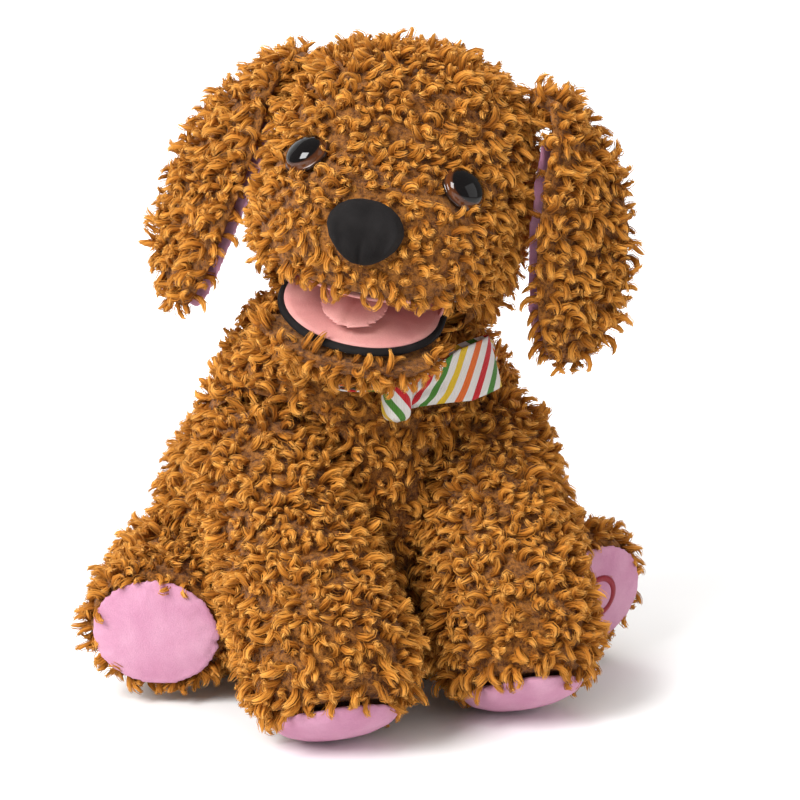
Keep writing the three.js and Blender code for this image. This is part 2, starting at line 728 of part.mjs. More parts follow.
// The left hind foot holds the press switch behind its sole.
function hindLegPieces(side) {
  const line = hindLine(side);
  const place = line.matrix.clone().multiply(ovalMatrix);
  let form = moved(limbForm(line.length, HIND_RADII, 0, true, 16), place);
  if (side === "left") {
    form = cut(form, moved(rod(13.5, line.length - 11, line.length + 5, 20), line.matrix));
    form = cut(form, moved(rod(1.9, 6, line.length, 8), line.matrix));
  }
  const ground = block([-200, 200], [-200, 200], [-60, 0.5]);
  piece(`hind_leg_${side}`, cut(form, ground), "fur");
  const pad = turned([[0, 0.4], [23.5, 0.4], [24.8, 1.3], [23.8, 2.3], [0, 3]], 24);
  const soleMatrix = line.matrix.clone();
  soleMatrix.multiply(new THREE.Matrix4().makeTranslation(0, 0, line.length));
  soleMatrix.multiply(ovalMatrix);
  piece(`hind_sole_${side}`, moved(pad, soleMatrix), "sole");
}

function pressSwitchPieces() {
  const line = hindLine("left");
  const end = line.length;
  const base = cut(rod(13, end - 10.5, end - 3.4, 20), rod(9, end - 7.5, end, 20));
  piece("press_switch_base", moved(base, line.matrix), "case");
  const button = join(rod(8.5, end - 5.4, end - 2.4, 20), rod(6.5, end - 3, end - 0.6, 16));
  piece("press_button", moved(button, line.matrix), "button");
  piece("foot_lead", moved(rod(1.3, 8, end - 11, 8), line.matrix), "case");
}

function tailPiece() {
  const form = limbForm(tailLine.length, TAIL_RADII, 0, false, 14);
  piece("tail", moved(form, tailLine.matrix), "fur");
}

// The collar, folded to half its width, follows the neck at a slant, just off the plush.
function collarPiece() {
  const cols = 24;
  const edge = (offset, rise) => {
    const points = [];
    for (let i = 0; i < cols; i += 1) {
      const turn = (i / cols) * 2 * Math.PI;
      let point = at(0, 0, 130);
      for (let pass = 0; pass < 12; pass += 1) {
        const [halfWidth, halfDepth, centreY] = torsoAt(point.z);
        const x = (halfWidth + offset) * Math.cos(turn);
        const y = centreY + (halfDepth + offset) * Math.sin(turn);
        point = at(x, y, collarHeight(x, y) + rise);
      }
      points.push(point);
    }
    return points;
  };
  const half = RIBBON_WIDTH / 4;
  const band = lofted([-half, -2, 2, half].map((rise) => edge(GAP + 0.6 + RIBBON, rise)));
  piece("collar_ribbon", largest(band.subtract(torsoForm(-GAP - 0.2))), "ribbon");
}

// A ribbon loop seen from above: a drop-shaped band that starts and ends at the knot.
function loopForm(reach, swellHalf) {
  const outline = (inset) => {
    const points = [];
    for (let step = 0; step <= 16; step += 1) {
      const turn = -Math.PI * 0.86 + (step / 16) * Math.PI * 1.72;
      const along = reach * 0.5 + (reach * 0.5 - inset) * Math.cos(turn);
      const side = (swellHalf - inset) * Math.sin(turn) * (0.62 + 0.38 * Math.cos(turn));
      points.push([along, side]);
    }
    return points;
  };
  const band = slab(outline(0), -RIBBON_WIDTH / 2, RIBBON_WIDTH / 2);
  return largest(band.subtract(slab(outline(RIBBON), -RIBBON_WIDTH, RIBBON_WIDTH)));
}

function bowPieces() {
  const knot = at(-4, -65, 123.8);
  const frame = (along, up) => {
    const x = along.clone().normalize();
    const y = new THREE.Vector3().crossVectors(up, x).normalize();
    return axesAt(knot, x, y, new THREE.Vector3().crossVectors(x, y));
  };
  const left = frame(at(44, 11, 12), at(-0.3, 0, 1));
  const right = frame(at(-30, 3, 1), at(0, -1, 0.1));
  const start = new THREE.Matrix4().makeTranslation(4.5, 0, 0);
  const flatStart = new THREE.Matrix4().makeTranslation(4.5, 0, 5.5);
  piece("bow_loop_left", moved(loopForm(40, 6), left.multiply(start)), "ribbon");
  piece("bow_loop_right", moved(loopForm(26, 4), right.multiply(flatStart)), "ribbon");
  const wrap = { centre: at(0, 0, 0), radii: at(5.6, 5, 8.6), power: 2 };
  const lump = swell(wrap.centre, (p) => beyond(p, wrap), 0, 14, 8);
  piece("bow_knot", moved(lump, new THREE.Matrix4().setPosition(knot)), "ribbon");
}

function soundBoxPieces() {
  const middle = (BOX.y[0] + BOX.y[1]) / 2;
  const [bayFrom, bayTo] = CELL_BAY;
  const cellTop = BOX.z[1] - 3;
  const doorTop = 3.2;
  const within = (wall) => [BOX.y[0] + wall, BOX.y[1] - wall];
  const bay = block([bayFrom, bayTo], within(1.5), [0, cellTop]);
  const doorRoom = block([bayFrom - 0.8, BOX.x[1] - 5], within(0.7), [0, doorTop + 0.3]);
  const screwX = 27;
  const screwPlace = new THREE.Matrix4().setPosition(at(screwX, middle, 0));
  const screwHole = moved(rod(1.8, 0, 14, 12), screwPlace);
  const switchX = 32.4;
  const switchRoom = block([switchX - 1.7, switchX + 1.7], [middle - 6, middle + 6], [0, 8]);
  const posts = [[-25, 14], [25, 14], [-25, 50], [25, 50]].map(([x, y]) =>
    moved(rod(2, BOX.z[1] - 1, BOX.z[1] + 2.6, 10), new THREE.Matrix4().setPosition(at(x, y, 0))),
  );
  const tray = join(block(BOX.x, BOX.y, BOX.z), ...posts);
  piece("battery_case", cut(tray, bay, doorRoom, screwHole, switchRoom), "case");

  for (let i = 0; i < 3; i += 1) {
    const y = middle + (i - 1) * CELL.pitch;
    const height = cellTop - 0.5 - CELL.radius;
    const from = -31;
    const to = from + CELL.length;
    const can = profileAlongX(circlePoints(y, height, CELL.radius, 18), from, to - 1.2);
    const nub = profileAlongX(circlePoints(y, height, 2.7, 10), to - 2, to);
    piece(`battery_cell_${i + 1}`, can.add(nub), "cell");
  }
  const strip = (x) => block(x, within(3), [5, cellTop - 1]);
  const bumps = (radius, from, to) =>
    [-1, 0, 1].map((i) => {
      const y = middle + i * CELL.pitch;
      return profileAlongX(circlePoints(y, cellTop - 0.5 - CELL.radius, radius, 10), from, to);
    });
  piece("contact_flat", join(strip([-32.6, -32.1]), ...bumps(3, -32.3, -31.4)), "steel");
  piece("contact_spring", join(strip([23.1, 23.6]), ...bumps(2.6, 19.9, 23.3)), "steel");

  const doorEdge = BOX.x[1] - 5.4;
  const lid = block([bayFrom - 0.4, doorEdge], within(1.1), [BOX.z[0], doorTop]);
  const sink = join(rod(2.2, 0, 6, 12), rod(3.4, 0, 2.2, 14));
  piece("battery_door", lid.subtract(moved(sink, screwPlace)), "case");
  const slot = block([screwX - 3.5, screwX + 3.5], [middle - 0.4, middle + 0.4], [0, 1.7]);
  const screw = moved(join(rod(3, 1.1, 2, 14), rod(1.4, 1.9, 12, 12)), screwPlace);
  piece("door_screw", screw.subtract(slot), "steel");

  const knob = join(
    block([switchX - 1.3, switchX + 1.3], [middle - 5.5, middle + 1], [3.4, 6]),
    block([switchX - 1.3, switchX + 1.3], [middle - 4, middle - 0.5], [1.2, 3.6]),
  );
  piece("power_switch", knob, "frame");

  const board = block([-29, 32], [10.6, 53.4], [25, 26.6]);
  const coil = block([-8, 8], [24, 40], [26.5, 27.8]);
  piece("circuit_board", board.add(coil), "board");
  const basket = [[0, 29.2], [7, 29.2], [7, 34], [17, 38.4], [19, 38.4], [19, 40]];
  const cone = [[16, 40], [5, 36], [0, 36.6]];
  const speakerPlace = new THREE.Matrix4().setPosition(at(0, middle, 0));
  piece("speaker", moved(turned([...basket, ...cone], 16), speakerPlace), "steel");
  const slits = [-3, -2, -1, 0, 1, 2, 3].map((i) =>
    block([i * 4.6 - 1, i * 4.6 + 1], [middle - 11, middle + 11], [30, 60]),
  );
  const shell = block(BOX.x, BOX.y, [BOX.z[1] + 0.4, COVER_TOP]);
  const inside = block([BOX.x[0] + 2, BOX.x[1] - 2], within(2), [0, COVER_TOP - 2]);
  piece("case_cover", cut(shell, inside, ...slits), "case");
}

torsoPieces();
neckPieces();
headPieces();
headFramePieces();
jawPieces();
drivePieces();
for (const side of ["left", "right"]) {
  earPieces(side);
  frontLegPieces(side);
  hindLegPieces(side);
}
pressSwitchPieces();
tailPiece();
collarPiece();
bowPieces();
soundBoxPieces();

export default group;
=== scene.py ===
"""The looks of a seated plush puppy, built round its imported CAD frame: curled pile on every plush piece,
velour soles, ear linings and mouth, glossy safety eyes, and a striped ribbon with a bow. Metres throughout."""

import json
import math
from contextlib import contextmanager

import bmesh
import bpy
import numpy as np
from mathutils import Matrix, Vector
from mathutils.bvhtree import BVHTree


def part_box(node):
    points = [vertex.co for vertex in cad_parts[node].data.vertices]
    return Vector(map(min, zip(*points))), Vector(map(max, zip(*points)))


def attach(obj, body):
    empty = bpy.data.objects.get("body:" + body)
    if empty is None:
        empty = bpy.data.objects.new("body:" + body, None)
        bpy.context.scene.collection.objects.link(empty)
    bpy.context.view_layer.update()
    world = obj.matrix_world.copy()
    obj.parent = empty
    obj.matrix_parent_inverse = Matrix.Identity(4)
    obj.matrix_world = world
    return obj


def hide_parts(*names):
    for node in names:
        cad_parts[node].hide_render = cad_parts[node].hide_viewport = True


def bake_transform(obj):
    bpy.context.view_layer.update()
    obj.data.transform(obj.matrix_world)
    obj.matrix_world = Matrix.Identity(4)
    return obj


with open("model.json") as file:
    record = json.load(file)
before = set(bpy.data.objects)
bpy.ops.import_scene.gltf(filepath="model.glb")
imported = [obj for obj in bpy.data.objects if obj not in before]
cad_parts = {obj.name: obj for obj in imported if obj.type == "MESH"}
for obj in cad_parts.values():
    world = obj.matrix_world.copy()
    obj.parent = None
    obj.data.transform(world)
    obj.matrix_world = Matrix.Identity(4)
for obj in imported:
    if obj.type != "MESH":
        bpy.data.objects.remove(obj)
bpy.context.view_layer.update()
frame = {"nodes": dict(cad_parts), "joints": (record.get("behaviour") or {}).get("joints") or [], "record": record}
NODES = frame["nodes"]
MM = 0.001
FULL_TURN = 2 * math.pi
UP = Vector((0, 0, 1))
SWELL_FRAMES = 20  # of each padded piece's cloth simulation
EYE_RADIUS = 9.2  # in millimetres

# ---- Sizes of the pile ----
SPACING = 2.85 * MM  # between the roots of neighbouring locks
LOCKS_PER_PIECE = 850
STEPS = 5  # along one lock
LOCK_HEIGHT = 6.4 * MM
LOCK_RING = 2.6 * MM  # the radius of a lock's curl
LOCK_DRIFT = 3.2 * MM  # how far a lock's tip lies over
SMALLEST_LOCK = 0.25  # as a share of a full lock
ROOT_DEPTH = 1.0 * MM
WISP_SIDES = 8
WISP_RADIUS = 1.02 * MM
WISP_GROOVE = 0.4  # as a share of the wisp's radius
STRAYS = 5  # in one lock
STRAY_SIDES = 3
STRAND_RADIUS = 0.23 * MM
RIM_GAP = 1.2 * MM  # bare backing round an eye, a sole or the nose
SEAT_LEVEL = 0.3 * MM  # the lowest the pressed pile comes
PRESSED_BELOW = 3 * MM
COLOUR_ROWS = 64  # one shade of lock in each row of the pile's map


# ---- Meshes ----


def values_of(items, key, kind=float):
    """One property of many mesh elements, as rows of three."""
    values = np.empty(len(items) * 3, kind)
    items.foreach_get(key, values)
    return values.reshape(-1, 3)


def corner_data(obj):
    """The points and the triangles of an object's mesh."""
    obj.data.calc_loop_triangles()
    return values_of(obj.data.vertices, "co"), values_of(obj.data.loop_triangles, "vertices", int)


def set_points(obj, points):
    """Moves the points of an object's mesh."""
    obj.data.vertices.foreach_set("co", points.astype(np.float32).ravel())
    obj.data.update()
    return obj


def linked(name, data):
    """An object in the scene, from its data."""
    obj = bpy.data.objects.new(name, data)
    bpy.context.scene.collection.objects.link(obj)
    return obj


def new_object(name, points, faces, uvs=None, layer="weave"):
    """A smooth-shaded object from arrays. All faces have the same number of corners."""
    mesh = bpy.data.meshes.new(name)
    faces = np.asarray(faces, np.int32)
    mesh.vertices.add(len(points))
    mesh.vertices.foreach_set("co", np.asarray(points, np.float32).ravel())
    mesh.loops.add(faces.size)
    mesh.loops.foreach_set("vertex_index", faces.ravel())
    mesh.polygons.add(len(faces))
    mesh.polygons.foreach_set("loop_start", np.arange(0, faces.size, faces.shape[1], dtype=np.int32))
    mesh.polygons.foreach_set("use_smooth", np.ones(len(faces), bool))
    if uvs is not None:
        uv_layer = mesh.uv_layers.new(name=layer)
        uv_layer.data.foreach_set("uv", np.asarray(uvs, np.float32).ravel())
    mesh.update(calc_edges=True)
    return linked(name, mesh)


def applied(obj):
    """Turns an object's modifiers into its mesh."""
    graph = bpy.context.evaluated_depsgraph_get()
    mesh = bpy.data.meshes.new_from_object(obj.evaluated_get(graph))
    obj.modifiers.clear()
    obj.data = mesh
    mesh.shade_smooth()
    return obj


def modified(obj, kind, **settings):
    """Turns one modifier into an object's mesh."""
    modifier = obj.modifiers.new(kind.lower(), kind)
    for key, value in settings.items():
        setattr(modifier, key, value)
    return applied(obj)


def joined(name, parts):
    """One object from CAD nodes, each grown along its normals: parts is [(node, growth), ...]."""
    mesh = bmesh.new()
    for node, growth in parts:
        one = bmesh.new()
        one.from_mesh(NODES[node].data)
        bmesh.ops.remove_doubles(one, verts=one.verts, dist=0.01 * MM)
        one.normal_update()
        for vertex in one.verts:
            vertex.co += vertex.normal * growth
        copy = bpy.data.meshes.new("part")
        one.to_mesh(copy)
        one.free()
        mesh.from_mesh(copy)
        bpy.data.meshes.remove(copy)
    data = bpy.data.meshes.new(name)
    mesh.to_mesh(data)
    mesh.free()
    return linked(name, data)


def remeshed(obj, voxel, smoothing):
    """A closed, evenly meshed and smoothed skin over an object, with only its outer piece kept."""
    modified(obj, "REMESH", mode="VOXEL", voxel_size=voxel)
    keep_largest(obj)
    return modified(obj, "SMOOTH", factor=0.5, iterations=smoothing)


@contextmanager
def edited(obj):
    """An object's mesh opened for editing, and written back afterwards."""
    mesh = bmesh.new()
    mesh.from_mesh(obj.data)
    yield mesh
    mesh.to_mesh(obj.data)
    mesh.free()


def outward(obj, weld=0.0, capped=False):
    """Welds close points, closes open ends where asked, and turns every face outwards."""
    with edited(obj) as mesh:
        if weld:
            bmesh.ops.remove_doubles(mesh, verts=mesh.verts, dist=weld)
        if capped:
            bmesh.ops.holes_fill(mesh, edges=[edge for edge in mesh.edges if edge.is_boundary])
        bmesh.ops.recalc_face_normals(mesh, faces=mesh.faces)
    return obj


def keep_largest(obj):
    """Deletes every piece of a mesh but the one with the most points."""
    with edited(obj) as mesh:
        groups, seen = [], set()
        for start in mesh.verts:
            if start in seen:
                continue
            seen.add(start)
            group = [start]
            for vertex in group:
                beside = {edge.other_vert(vertex) for edge in vertex.link_edges} - seen
                seen |= beside
                group += beside
            groups.append(group)
        groups.sort(key=len, reverse=True)
        spare = [vertex for group in groups[1:] for vertex in group]
        bmesh.ops.delete(mesh, geom=spare, context="VERTS")


def shifted(obj, distance):
    """Moves every point along its own normal."""
    points, _ = corner_data(obj)
    return set_points(obj, points + values_of(obj.data.vertices, "normal") * distance)


def tree_of(*objs):
    """A search tree over several objects' surfaces."""
    all_points, all_faces = [], []
    for obj in objs:
        points, faces = corner_data(obj)
        all_faces += (faces + len(all_points)).tolist()
        all_points += points.tolist()
    return BVHTree.FromPolygons(all_points, all_faces)


def painted(obj, surface):
    obj.data.materials.clear()
    obj.data.materials.append(surface)


def finished(obj, body, surface, slot, *nodes):
    """Gives a piece its material and its body, and hides the CAD nodes it stands for."""
    painted(obj, surface)
    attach(obj, body)
    if nodes:
        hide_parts(*nodes)
    return obj


def puffed(obj, voxel, pressure, cap, smoothing=2):
    """Swells a padded piece with a short cloth simulation, and holds back how far a point may move."""
    remeshed(obj, voxel, smoothing)
    before, _ = corner_data(obj)
    cloth = obj.modifiers.new("cloth", "CLOTH")
    cloth.settings.use_pressure = True
    cloth.settings.uniform_pressure_force = pressure
    cloth.settings.effector_weights.gravity = 0
    cloth.point_cache.frame_start = 1
    cloth.point_cache.frame_end = SWELL_FRAMES
    for number in range(1, SWELL_FRAMES + 1):
        bpy.context.scene.frame_set(number)
    applied(obj)
    bpy.context.scene.frame_set(1)
    after, _ = corner_data(obj)
    move = after - before
    length = np.linalg.norm(move, axis=1, keepdims=True)
    move *= np.minimum(1, cap / np.maximum(length, 1e-9))
    return set_points(obj, before + move)


def subdivided(obj):
    return modified(obj, "SUBSURF", levels=1, render_levels=1)


def thickened(obj, thickness, offset=0):
    return modified(obj, "SOLIDIFY", thickness=thickness, offset=offset)


def grid_faces(rows, cols, closed=False):
    """Quads over a grid of points, row by row. A closed grid joins its last column to its first."""
    faces = []
    for row in range(rows - 1):
        here, above = row * cols, (row + 1) * cols
        for col in range(cols if closed else cols - 1):
            after = (col + 1) % cols
            faces.append((here + col, here + after, above + after, above + col))
    return np.array(faces)


def spokes(axis, count):
    """Directions evenly spread round an axis, the first of them level."""
    across = axis.cross(UP).normalized()
    above = across.cross(axis)
    turns = [FULL_TURN * number / count for number in range(count)]
    return [across * math.cos(turn) + above * math.sin(turn) for turn in turns]


def unit(vectors, least=1e-9):
    """Vectors brought to length one, where they are longer than the least length."""
    return vectors / np.maximum(np.linalg.norm(vectors, axis=-1, keepdims=True), least)


# ---- Materials ----


class Surface:
    """A material being wired: its nodes, its links and its shader."""

    def __init__(self, name, roughness=0.5, **inputs):
        self.material = bpy.data.materials.new(name)
        self.material.use_nodes = True
        self.nodes = self.material.node_tree.nodes
        self.shader = self.nodes["Principled BSDF"]
        self.shader.inputs["Roughness"].default_value = roughness
        for key, value in inputs.items():
            self.shader.inputs[key.replace("_", " ")].default_value = value

    def link(self, output, target):
        self.material.node_tree.links.new(output, target)

    def wired(self, kind, output, inputs, **settings):
        """Adds a node, sets or links its inputs, and returns one of its outputs."""
        node = self.nodes.new("ShaderNode" + kind)
        for key, value in settings.items():
            setattr(node, key, value)
        for key, value in inputs.items():
            if isinstance(value, bpy.types.NodeSocket):
                self.link(value, node.inputs[key])
            else:
                node.inputs[key].default_value = value
        return node.outputs[output]

    def place(self):
        """The object's own place, in metres."""
        return self.wired("TexCoord", "Object", {})

    def map_sides(self, layer):
        """The two directions of a UV map."""
        node = self.nodes.new("ShaderNodeSeparateXYZ")
        self.link(self.wired("UVMap", "UV", {}, uv_map=layer), node.inputs["Vector"])
        return node.outputs["X"], node.outputs["Y"]

    def noise(self, scale, detail=3.0, roughness=0.5, place=None):
        """Noise in features per metre, over the object's own place unless another is given."""
        place = self.place() if place is None else place
        inputs = {"Vector": place, "Scale": scale, "Detail": detail, "Roughness": roughness}
        return self.wired("TexNoise", "Fac", inputs)

    def ramp(self, value, stops, interpolation="LINEAR"):
        """A colour along a value: stops is [(place, (r, g, b)), ...]."""
        node = self.nodes.new("ShaderNodeValToRGB")
        node.color_ramp.interpolation = interpolation
        elements = node.color_ramp.elements
        while len(elements) < len(stops):
            elements.new(0.5)
        for element, (place, colour) in zip(elements, stops):
            element.position = place
            element.color = (*colour, 1)
        self.link(value, node.inputs["Fac"])
        return node.outputs["Color"]

    def math(self, operation, first, second=0.0):
        return self.wired("Math", "Value", {0: first, 1: second}, operation=operation)

    def vector(self, operation, first, second=(0, 0, 0), output="Vector"):
        return self.wired("VectorMath", output, {0: first, 1: second}, operation=operation)

    def mixed(self, blend, share, first, second):
        inputs = {0: share, 6: first, 7: second}
        return self.wired("Mix", 2, inputs, data_type="RGBA", blend_type=blend)

    def colour(self, output):
        self.link(output, self.shader.inputs["Base Color"])
        return self

    def bump(self, height, distance, strength=1.0):
        inputs = {"Distance": distance, "Strength": strength, "Height": height}
        self.link(self.wired("Bump", "Normal", inputs), self.shader.inputs["Normal"])
        return self



def pile_surface():
    """Curled pile: dark at the root as painted shade deep in the pile, lighter and more golden at the tip as a
    painted highlight, and a little different in each lock.
    """
    sheen = {"Sheen_Weight": 0.12, "Sheen_Roughness": 0.4, "Sheen_Tint": (1.0, 0.66, 0.3, 1)}
    surface = Surface("curled_pile", 0.75, Specular_IOR_Level=0.1, **sheen)
    along, row = surface.map_sides("OFBake")
    number = surface.math("FLOOR", surface.math("MULTIPLY", row, float(COLOUR_ROWS)))
    random = surface.wired("TexWhiteNoise", "Value", {"W": number}, noise_dimensions="1D")
    # painted light: the dark root colours stand for shade deep in the pile, the light tip colours for a painted
    # highlight on the outer curls
    root, low = (0.220, 0.070, 0.009), (0.440, 0.163, 0.020)
    high, tip = (0.620, 0.268, 0.042), (0.720, 0.370, 0.090)
    shade_to_highlight = surface.ramp(along, [(0.0, root), (0.3, low), (0.62, high), (1.0, tip)])
    dull, plain, warm, pale = (0.74, 0.66, 0.58), (0.95, 0.90, 0.84), (1.03, 1.02, 1.0), (1.14, 1.16, 1.22)
    tone = surface.ramp(random, [(0.0, dull), (0.25, plain), (0.7, warm), (1.0, pale)])
    lines = {"X": surface.math("MULTIPLY", along, 2.5), "Y": surface.math("MULTIPLY", row, COLOUR_ROWS * 11.0)}
    hairs = surface.noise(1.0, 1.0, place=surface.wired("CombineXYZ", "Vector", lines))
    strand = surface.ramp(hairs, [(0.36, (0.66, 0.58, 0.50)), (0.6, (1.06, 1.06, 1.06))])
    shade_to_highlight = surface.mixed("MULTIPLY", 0.9, shade_to_highlight, strand)
    return surface.colour(surface.mixed("MULTIPLY", 1.0, shade_to_highlight, tone)).material


def backing_surface():
    """The knitted backing and short under-pile between the locks: a mottled colour, kept dark as painted shade
    between the locks.
    """
    surface = Surface("plush_backing", 0.9, Specular_IOR_Level=0.1, Sheen_Weight=0.1)
    curls = surface.noise(420.0, 5.0, 0.75)
    # painted shade: the dark end of this ramp stands for the shadow between the locks; the noise mottling is the
    # backing's own texture
    colour = surface.ramp(curls, [(0.38, (0.090, 0.026, 0.004)), (0.6, (0.430, 0.162, 0.025))])
    return surface.colour(colour).bump(curls, 2.5 * MM).material


def velour_surface(name, dark, light, pile=0.35):
    """Short sheared pile: a soft, slightly mottled colour with a brushed nap."""
    tint = (*[min(1, c * 1.4 + 0.1) for c in light], 1)
    sheen = {"Sheen_Weight": pile, "Sheen_Roughness": 0.35, "Sheen_Tint": tint}
    surface = Surface(name, 0.88, Specular_IOR_Level=0.15, **sheen)
    nap = surface.noise(60.0, 3.0, 0.55)
    fibres = surface.noise(1900.0, 4.0, 0.75)
    base = surface.ramp(nap, [(0.35, dark), (0.68, light)])
    speck = surface.ramp(fibres, [(0.3, (0.86, 0.84, 0.85)), (0.62, (1.04, 1.04, 1.04))])
    return surface.colour(surface.mixed("MULTIPLY", 0.8, base, speck)).bump(fibres, 0.35 * MM, 0.8).material


def ribbon_surface():
    """Ribbed white ribbon with slanting printed stripes, from a map in millimetres."""
    surface = Surface("striped_ribbon", 0.62, Specular_IOR_Level=0.35, Sheen_Weight=0.1)
    along, across = surface.map_sides("weave")
    repeat, steepness = 31.0, 0.85
    slant = surface.math("ADD", along, surface.math("MULTIPLY", across, steepness))
    turn = surface.math("FRACT", surface.math("DIVIDE", slant, repeat))
    white = (0.83, 0.80, 0.76)
    bands = [(0.60, 0.004, 0.012), (0.80, 0.150, 0.010), (0.80, 0.520, 0.015), (0.065, 0.240, 0.022)]
    stops = []
    for number, band in enumerate(bands):
        stops += [(number * 0.25, white), (number * 0.25 + 0.13, band)]
    stripes = surface.ramp(turn, stops, "CONSTANT")
    ribs = surface.math("SINE", surface.math("MULTIPLY", along, 9.0))
    threads = surface.math("SINE", surface.math("MULTIPLY", across, 14.0))
    weave = surface.math("ADD", ribs, surface.math("MULTIPLY", threads, 0.4))
    shade = surface.ramp(weave, [(0.0, (0.90, 0.90, 0.90)), (1.0, (1.0, 1.0, 1.0))])
    return surface.colour(surface.mixed("MULTIPLY", 1.0, stripes, shade)).bump(weave, 0.12 * MM).material


def thread_surface(name, colour):
    """Embroidery thread: a slight gloss over fine fibres."""
    surface = Surface(name, 0.45, Specular_IOR_Level=0.4)
    fibres = surface.noise(2600.0, 2.0, 0.5)
    dark = tuple(0.7 * c for c in colour)
    return surface.colour(surface.ramp(fibres, [(0.3, dark), (0.7, colour)])).bump(fibres, 0.1 * MM).material


def eye_surface(centre, axis):
    """A glossy safety eye: black pupil, amber ring and dark rim, by distance from the eye's axis."""
    surface = Surface("safety_eye", 0.05, Specular_IOR_Level=0.4)
    across = surface.vector("CROSS_PRODUCT", surface.vector("SUBTRACT", surface.place(), centre), axis)
    share = surface.math("DIVIDE", surface.vector("LENGTH", across, output="Value"), EYE_RADIUS * MM)
    pupil, rim = (0.003, 0.002, 0.002), (0.016, 0.007, 0.004)
    amber = [(0.81, (0.050, 0.014, 0.004)), (0.91, (0.105, 0.032, 0.009)), (0.96, (0.040, 0.013, 0.005))]
    ring = surface.ramp(share, [(0.0, pupil), (0.77, pupil), *amber, (1.0, rim)])
    tone = surface.ramp(surface.noise(700.0, 2.0, 0.6), [(0.3, (0.8, 0.8, 0.8)), (0.7, (1.1, 1.1, 1.1))])
    return surface.colour(surface.mixed("MULTIPLY", 0.6, ring, tone)).material


def moulded_surface(name, colour, roughness, metallic=0.0):
    """Moulded plastic or plated metal with a fine grain and slight handling marks."""
    surface = Surface(name, roughness, Metallic=metallic)
    grain = surface.noise(1400.0, 3.0, 0.6)
    wear = surface.noise(45.0, 4.0, 0.6)
    dark = tuple(0.82 * c for c in colour)
    base = surface.ramp(wear, [(0.35, dark), (0.65, colour)])
    speck = surface.ramp(grain, [(0.3, (0.93, 0.93, 0.93)), (0.7, (1.03, 1.03, 1.03))])
    return surface.colour(surface.mixed("MULTIPLY", 1.0, base, speck)).bump(grain, 0.05 * MM, 0.6).material


PILE = pile_surface()
SHADED_BACKING = backing_surface()
PINK = velour_surface("pink_velour", (0.500, 0.225, 0.340), (0.590, 0.310, 0.425))
MOUTH = velour_surface("mouth_velour", (0.590, 0.245, 0.235), (0.700, 0.350, 0.315))
BLACK = velour_surface("black_velour", (0.006, 0.005, 0.005), (0.016, 0.014, 0.014), 0.12)
RIBBON = ribbon_surface()
RED_THREAD = thread_surface("red_thread", (0.300, 0.006, 0.020))
PLASTICS = {
    "frame": moulded_surface("ivory_plastic", (0.70, 0.67, 0.60), 0.5),
    "case": moulded_surface("black_plastic", (0.030, 0.031, 0.035), 0.55),
    "gear": moulded_surface("white_acetal", (0.82, 0.80, 0.74), 0.4),
    "steel": moulded_surface("plated_steel", (0.56, 0.57, 0.59), 0.3, 1.0),
    "cell": moulded_surface("cell_wrap", (0.05, 0.075, 0.095), 0.35),
    "board": moulded_surface("board_mask", (0.015, 0.11, 0.045), 0.4),
    "button": moulded_surface("red_plastic", (0.45, 0.015, 0.025), 0.45),
    "stuffing": moulded_surface("fibre_fill", (0.86, 0.85, 0.82), 0.95),
    "black_cloth": BLACK,
    "mouth": MOUTH,
    "sole": PINK,
}

# ---- The head's own axes, from its joints ----


def joint(name):
    return next(j for j in frame["joints"] if j["name"] == name)


HEAD_X = Vector(joint("jaw_hinge")["axis"]).normalized()
HEAD_Z = Vector(joint("neck_turn")["axis"]).normalized()
HEAD_Y = HEAD_Z.cross(HEAD_X)
HINGE = Vector(joint("jaw_hinge")["pos_m"])
ROOF_TILT = math.radians(13)
FLOOR_TILT = math.radians(26)


def mouth_point(x, y, z, tilt):
    """A point given from the jaw's hinge line, in millimetres, on a level tipped down towards the lips."""
    ahead = y * math.cos(tilt) - z * math.sin(tilt)
    up = y * math.sin(tilt) + z * math.cos(tilt)
    return HINGE + (HEAD_X * x + HEAD_Y * ahead + HEAD_Z * up) * MM


def centre_of(node):
    low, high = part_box(node)
    return (low + high) / 2


def head_places(points, origin=HINGE):
    """Places in millimetres from an origin, along the head's own axes: across, back and up."""
    local = (points - np.array(origin)) / MM
    return local @ np.array(HEAD_X), local @ np.array(HEAD_Y), local @ np.array(HEAD_Z)


def on_floor(points):
    """Places across, ahead of and above the mouth's floor, in millimetres from the hinge line."""
    x, y, z = head_places(points)
    cos, sin = math.cos(FLOOR_TILT), math.sin(FLOOR_TILT)
    return x, -(y * cos + z * sin), z * cos - y * sin


# ---- Backings ----


def backing(name, body, parts, voxel, smoothing, inset):
    """The plush fabric itself: a smooth closed form a little under the middle of the pile."""
    obj = shifted(remeshed(joined(name, parts), voxel, smoothing), -inset)
    return finished(obj, body, SHADED_BACKING, "fur", *[node for node, _ in parts])


def cut_hatch(obj, low, high):
    """Opens a rectangular hole in the underside of an object, up to a height."""
    with edited(obj) as mesh:
        for place, direction in ((low, -1), (high, 1)):
            for normal in ((direction, 0, 0), (0, direction, 0)):
                everything = mesh.verts[:] + mesh.edges[:] + mesh.faces[:]
                bmesh.ops.bisect_plane(mesh, geom=everything, plane_co=place, plane_no=normal, dist=0.01 * MM)
        inside = []
        for face in mesh.faces:
            centre = face.calc_center_median()
            if low[0] < centre.x < high[0] and low[1] < centre.y < high[1] and centre.z < high[2]:
                inside.append(face)
        bmesh.ops.delete(mesh, geom=inside, context="FACES")
    return obj


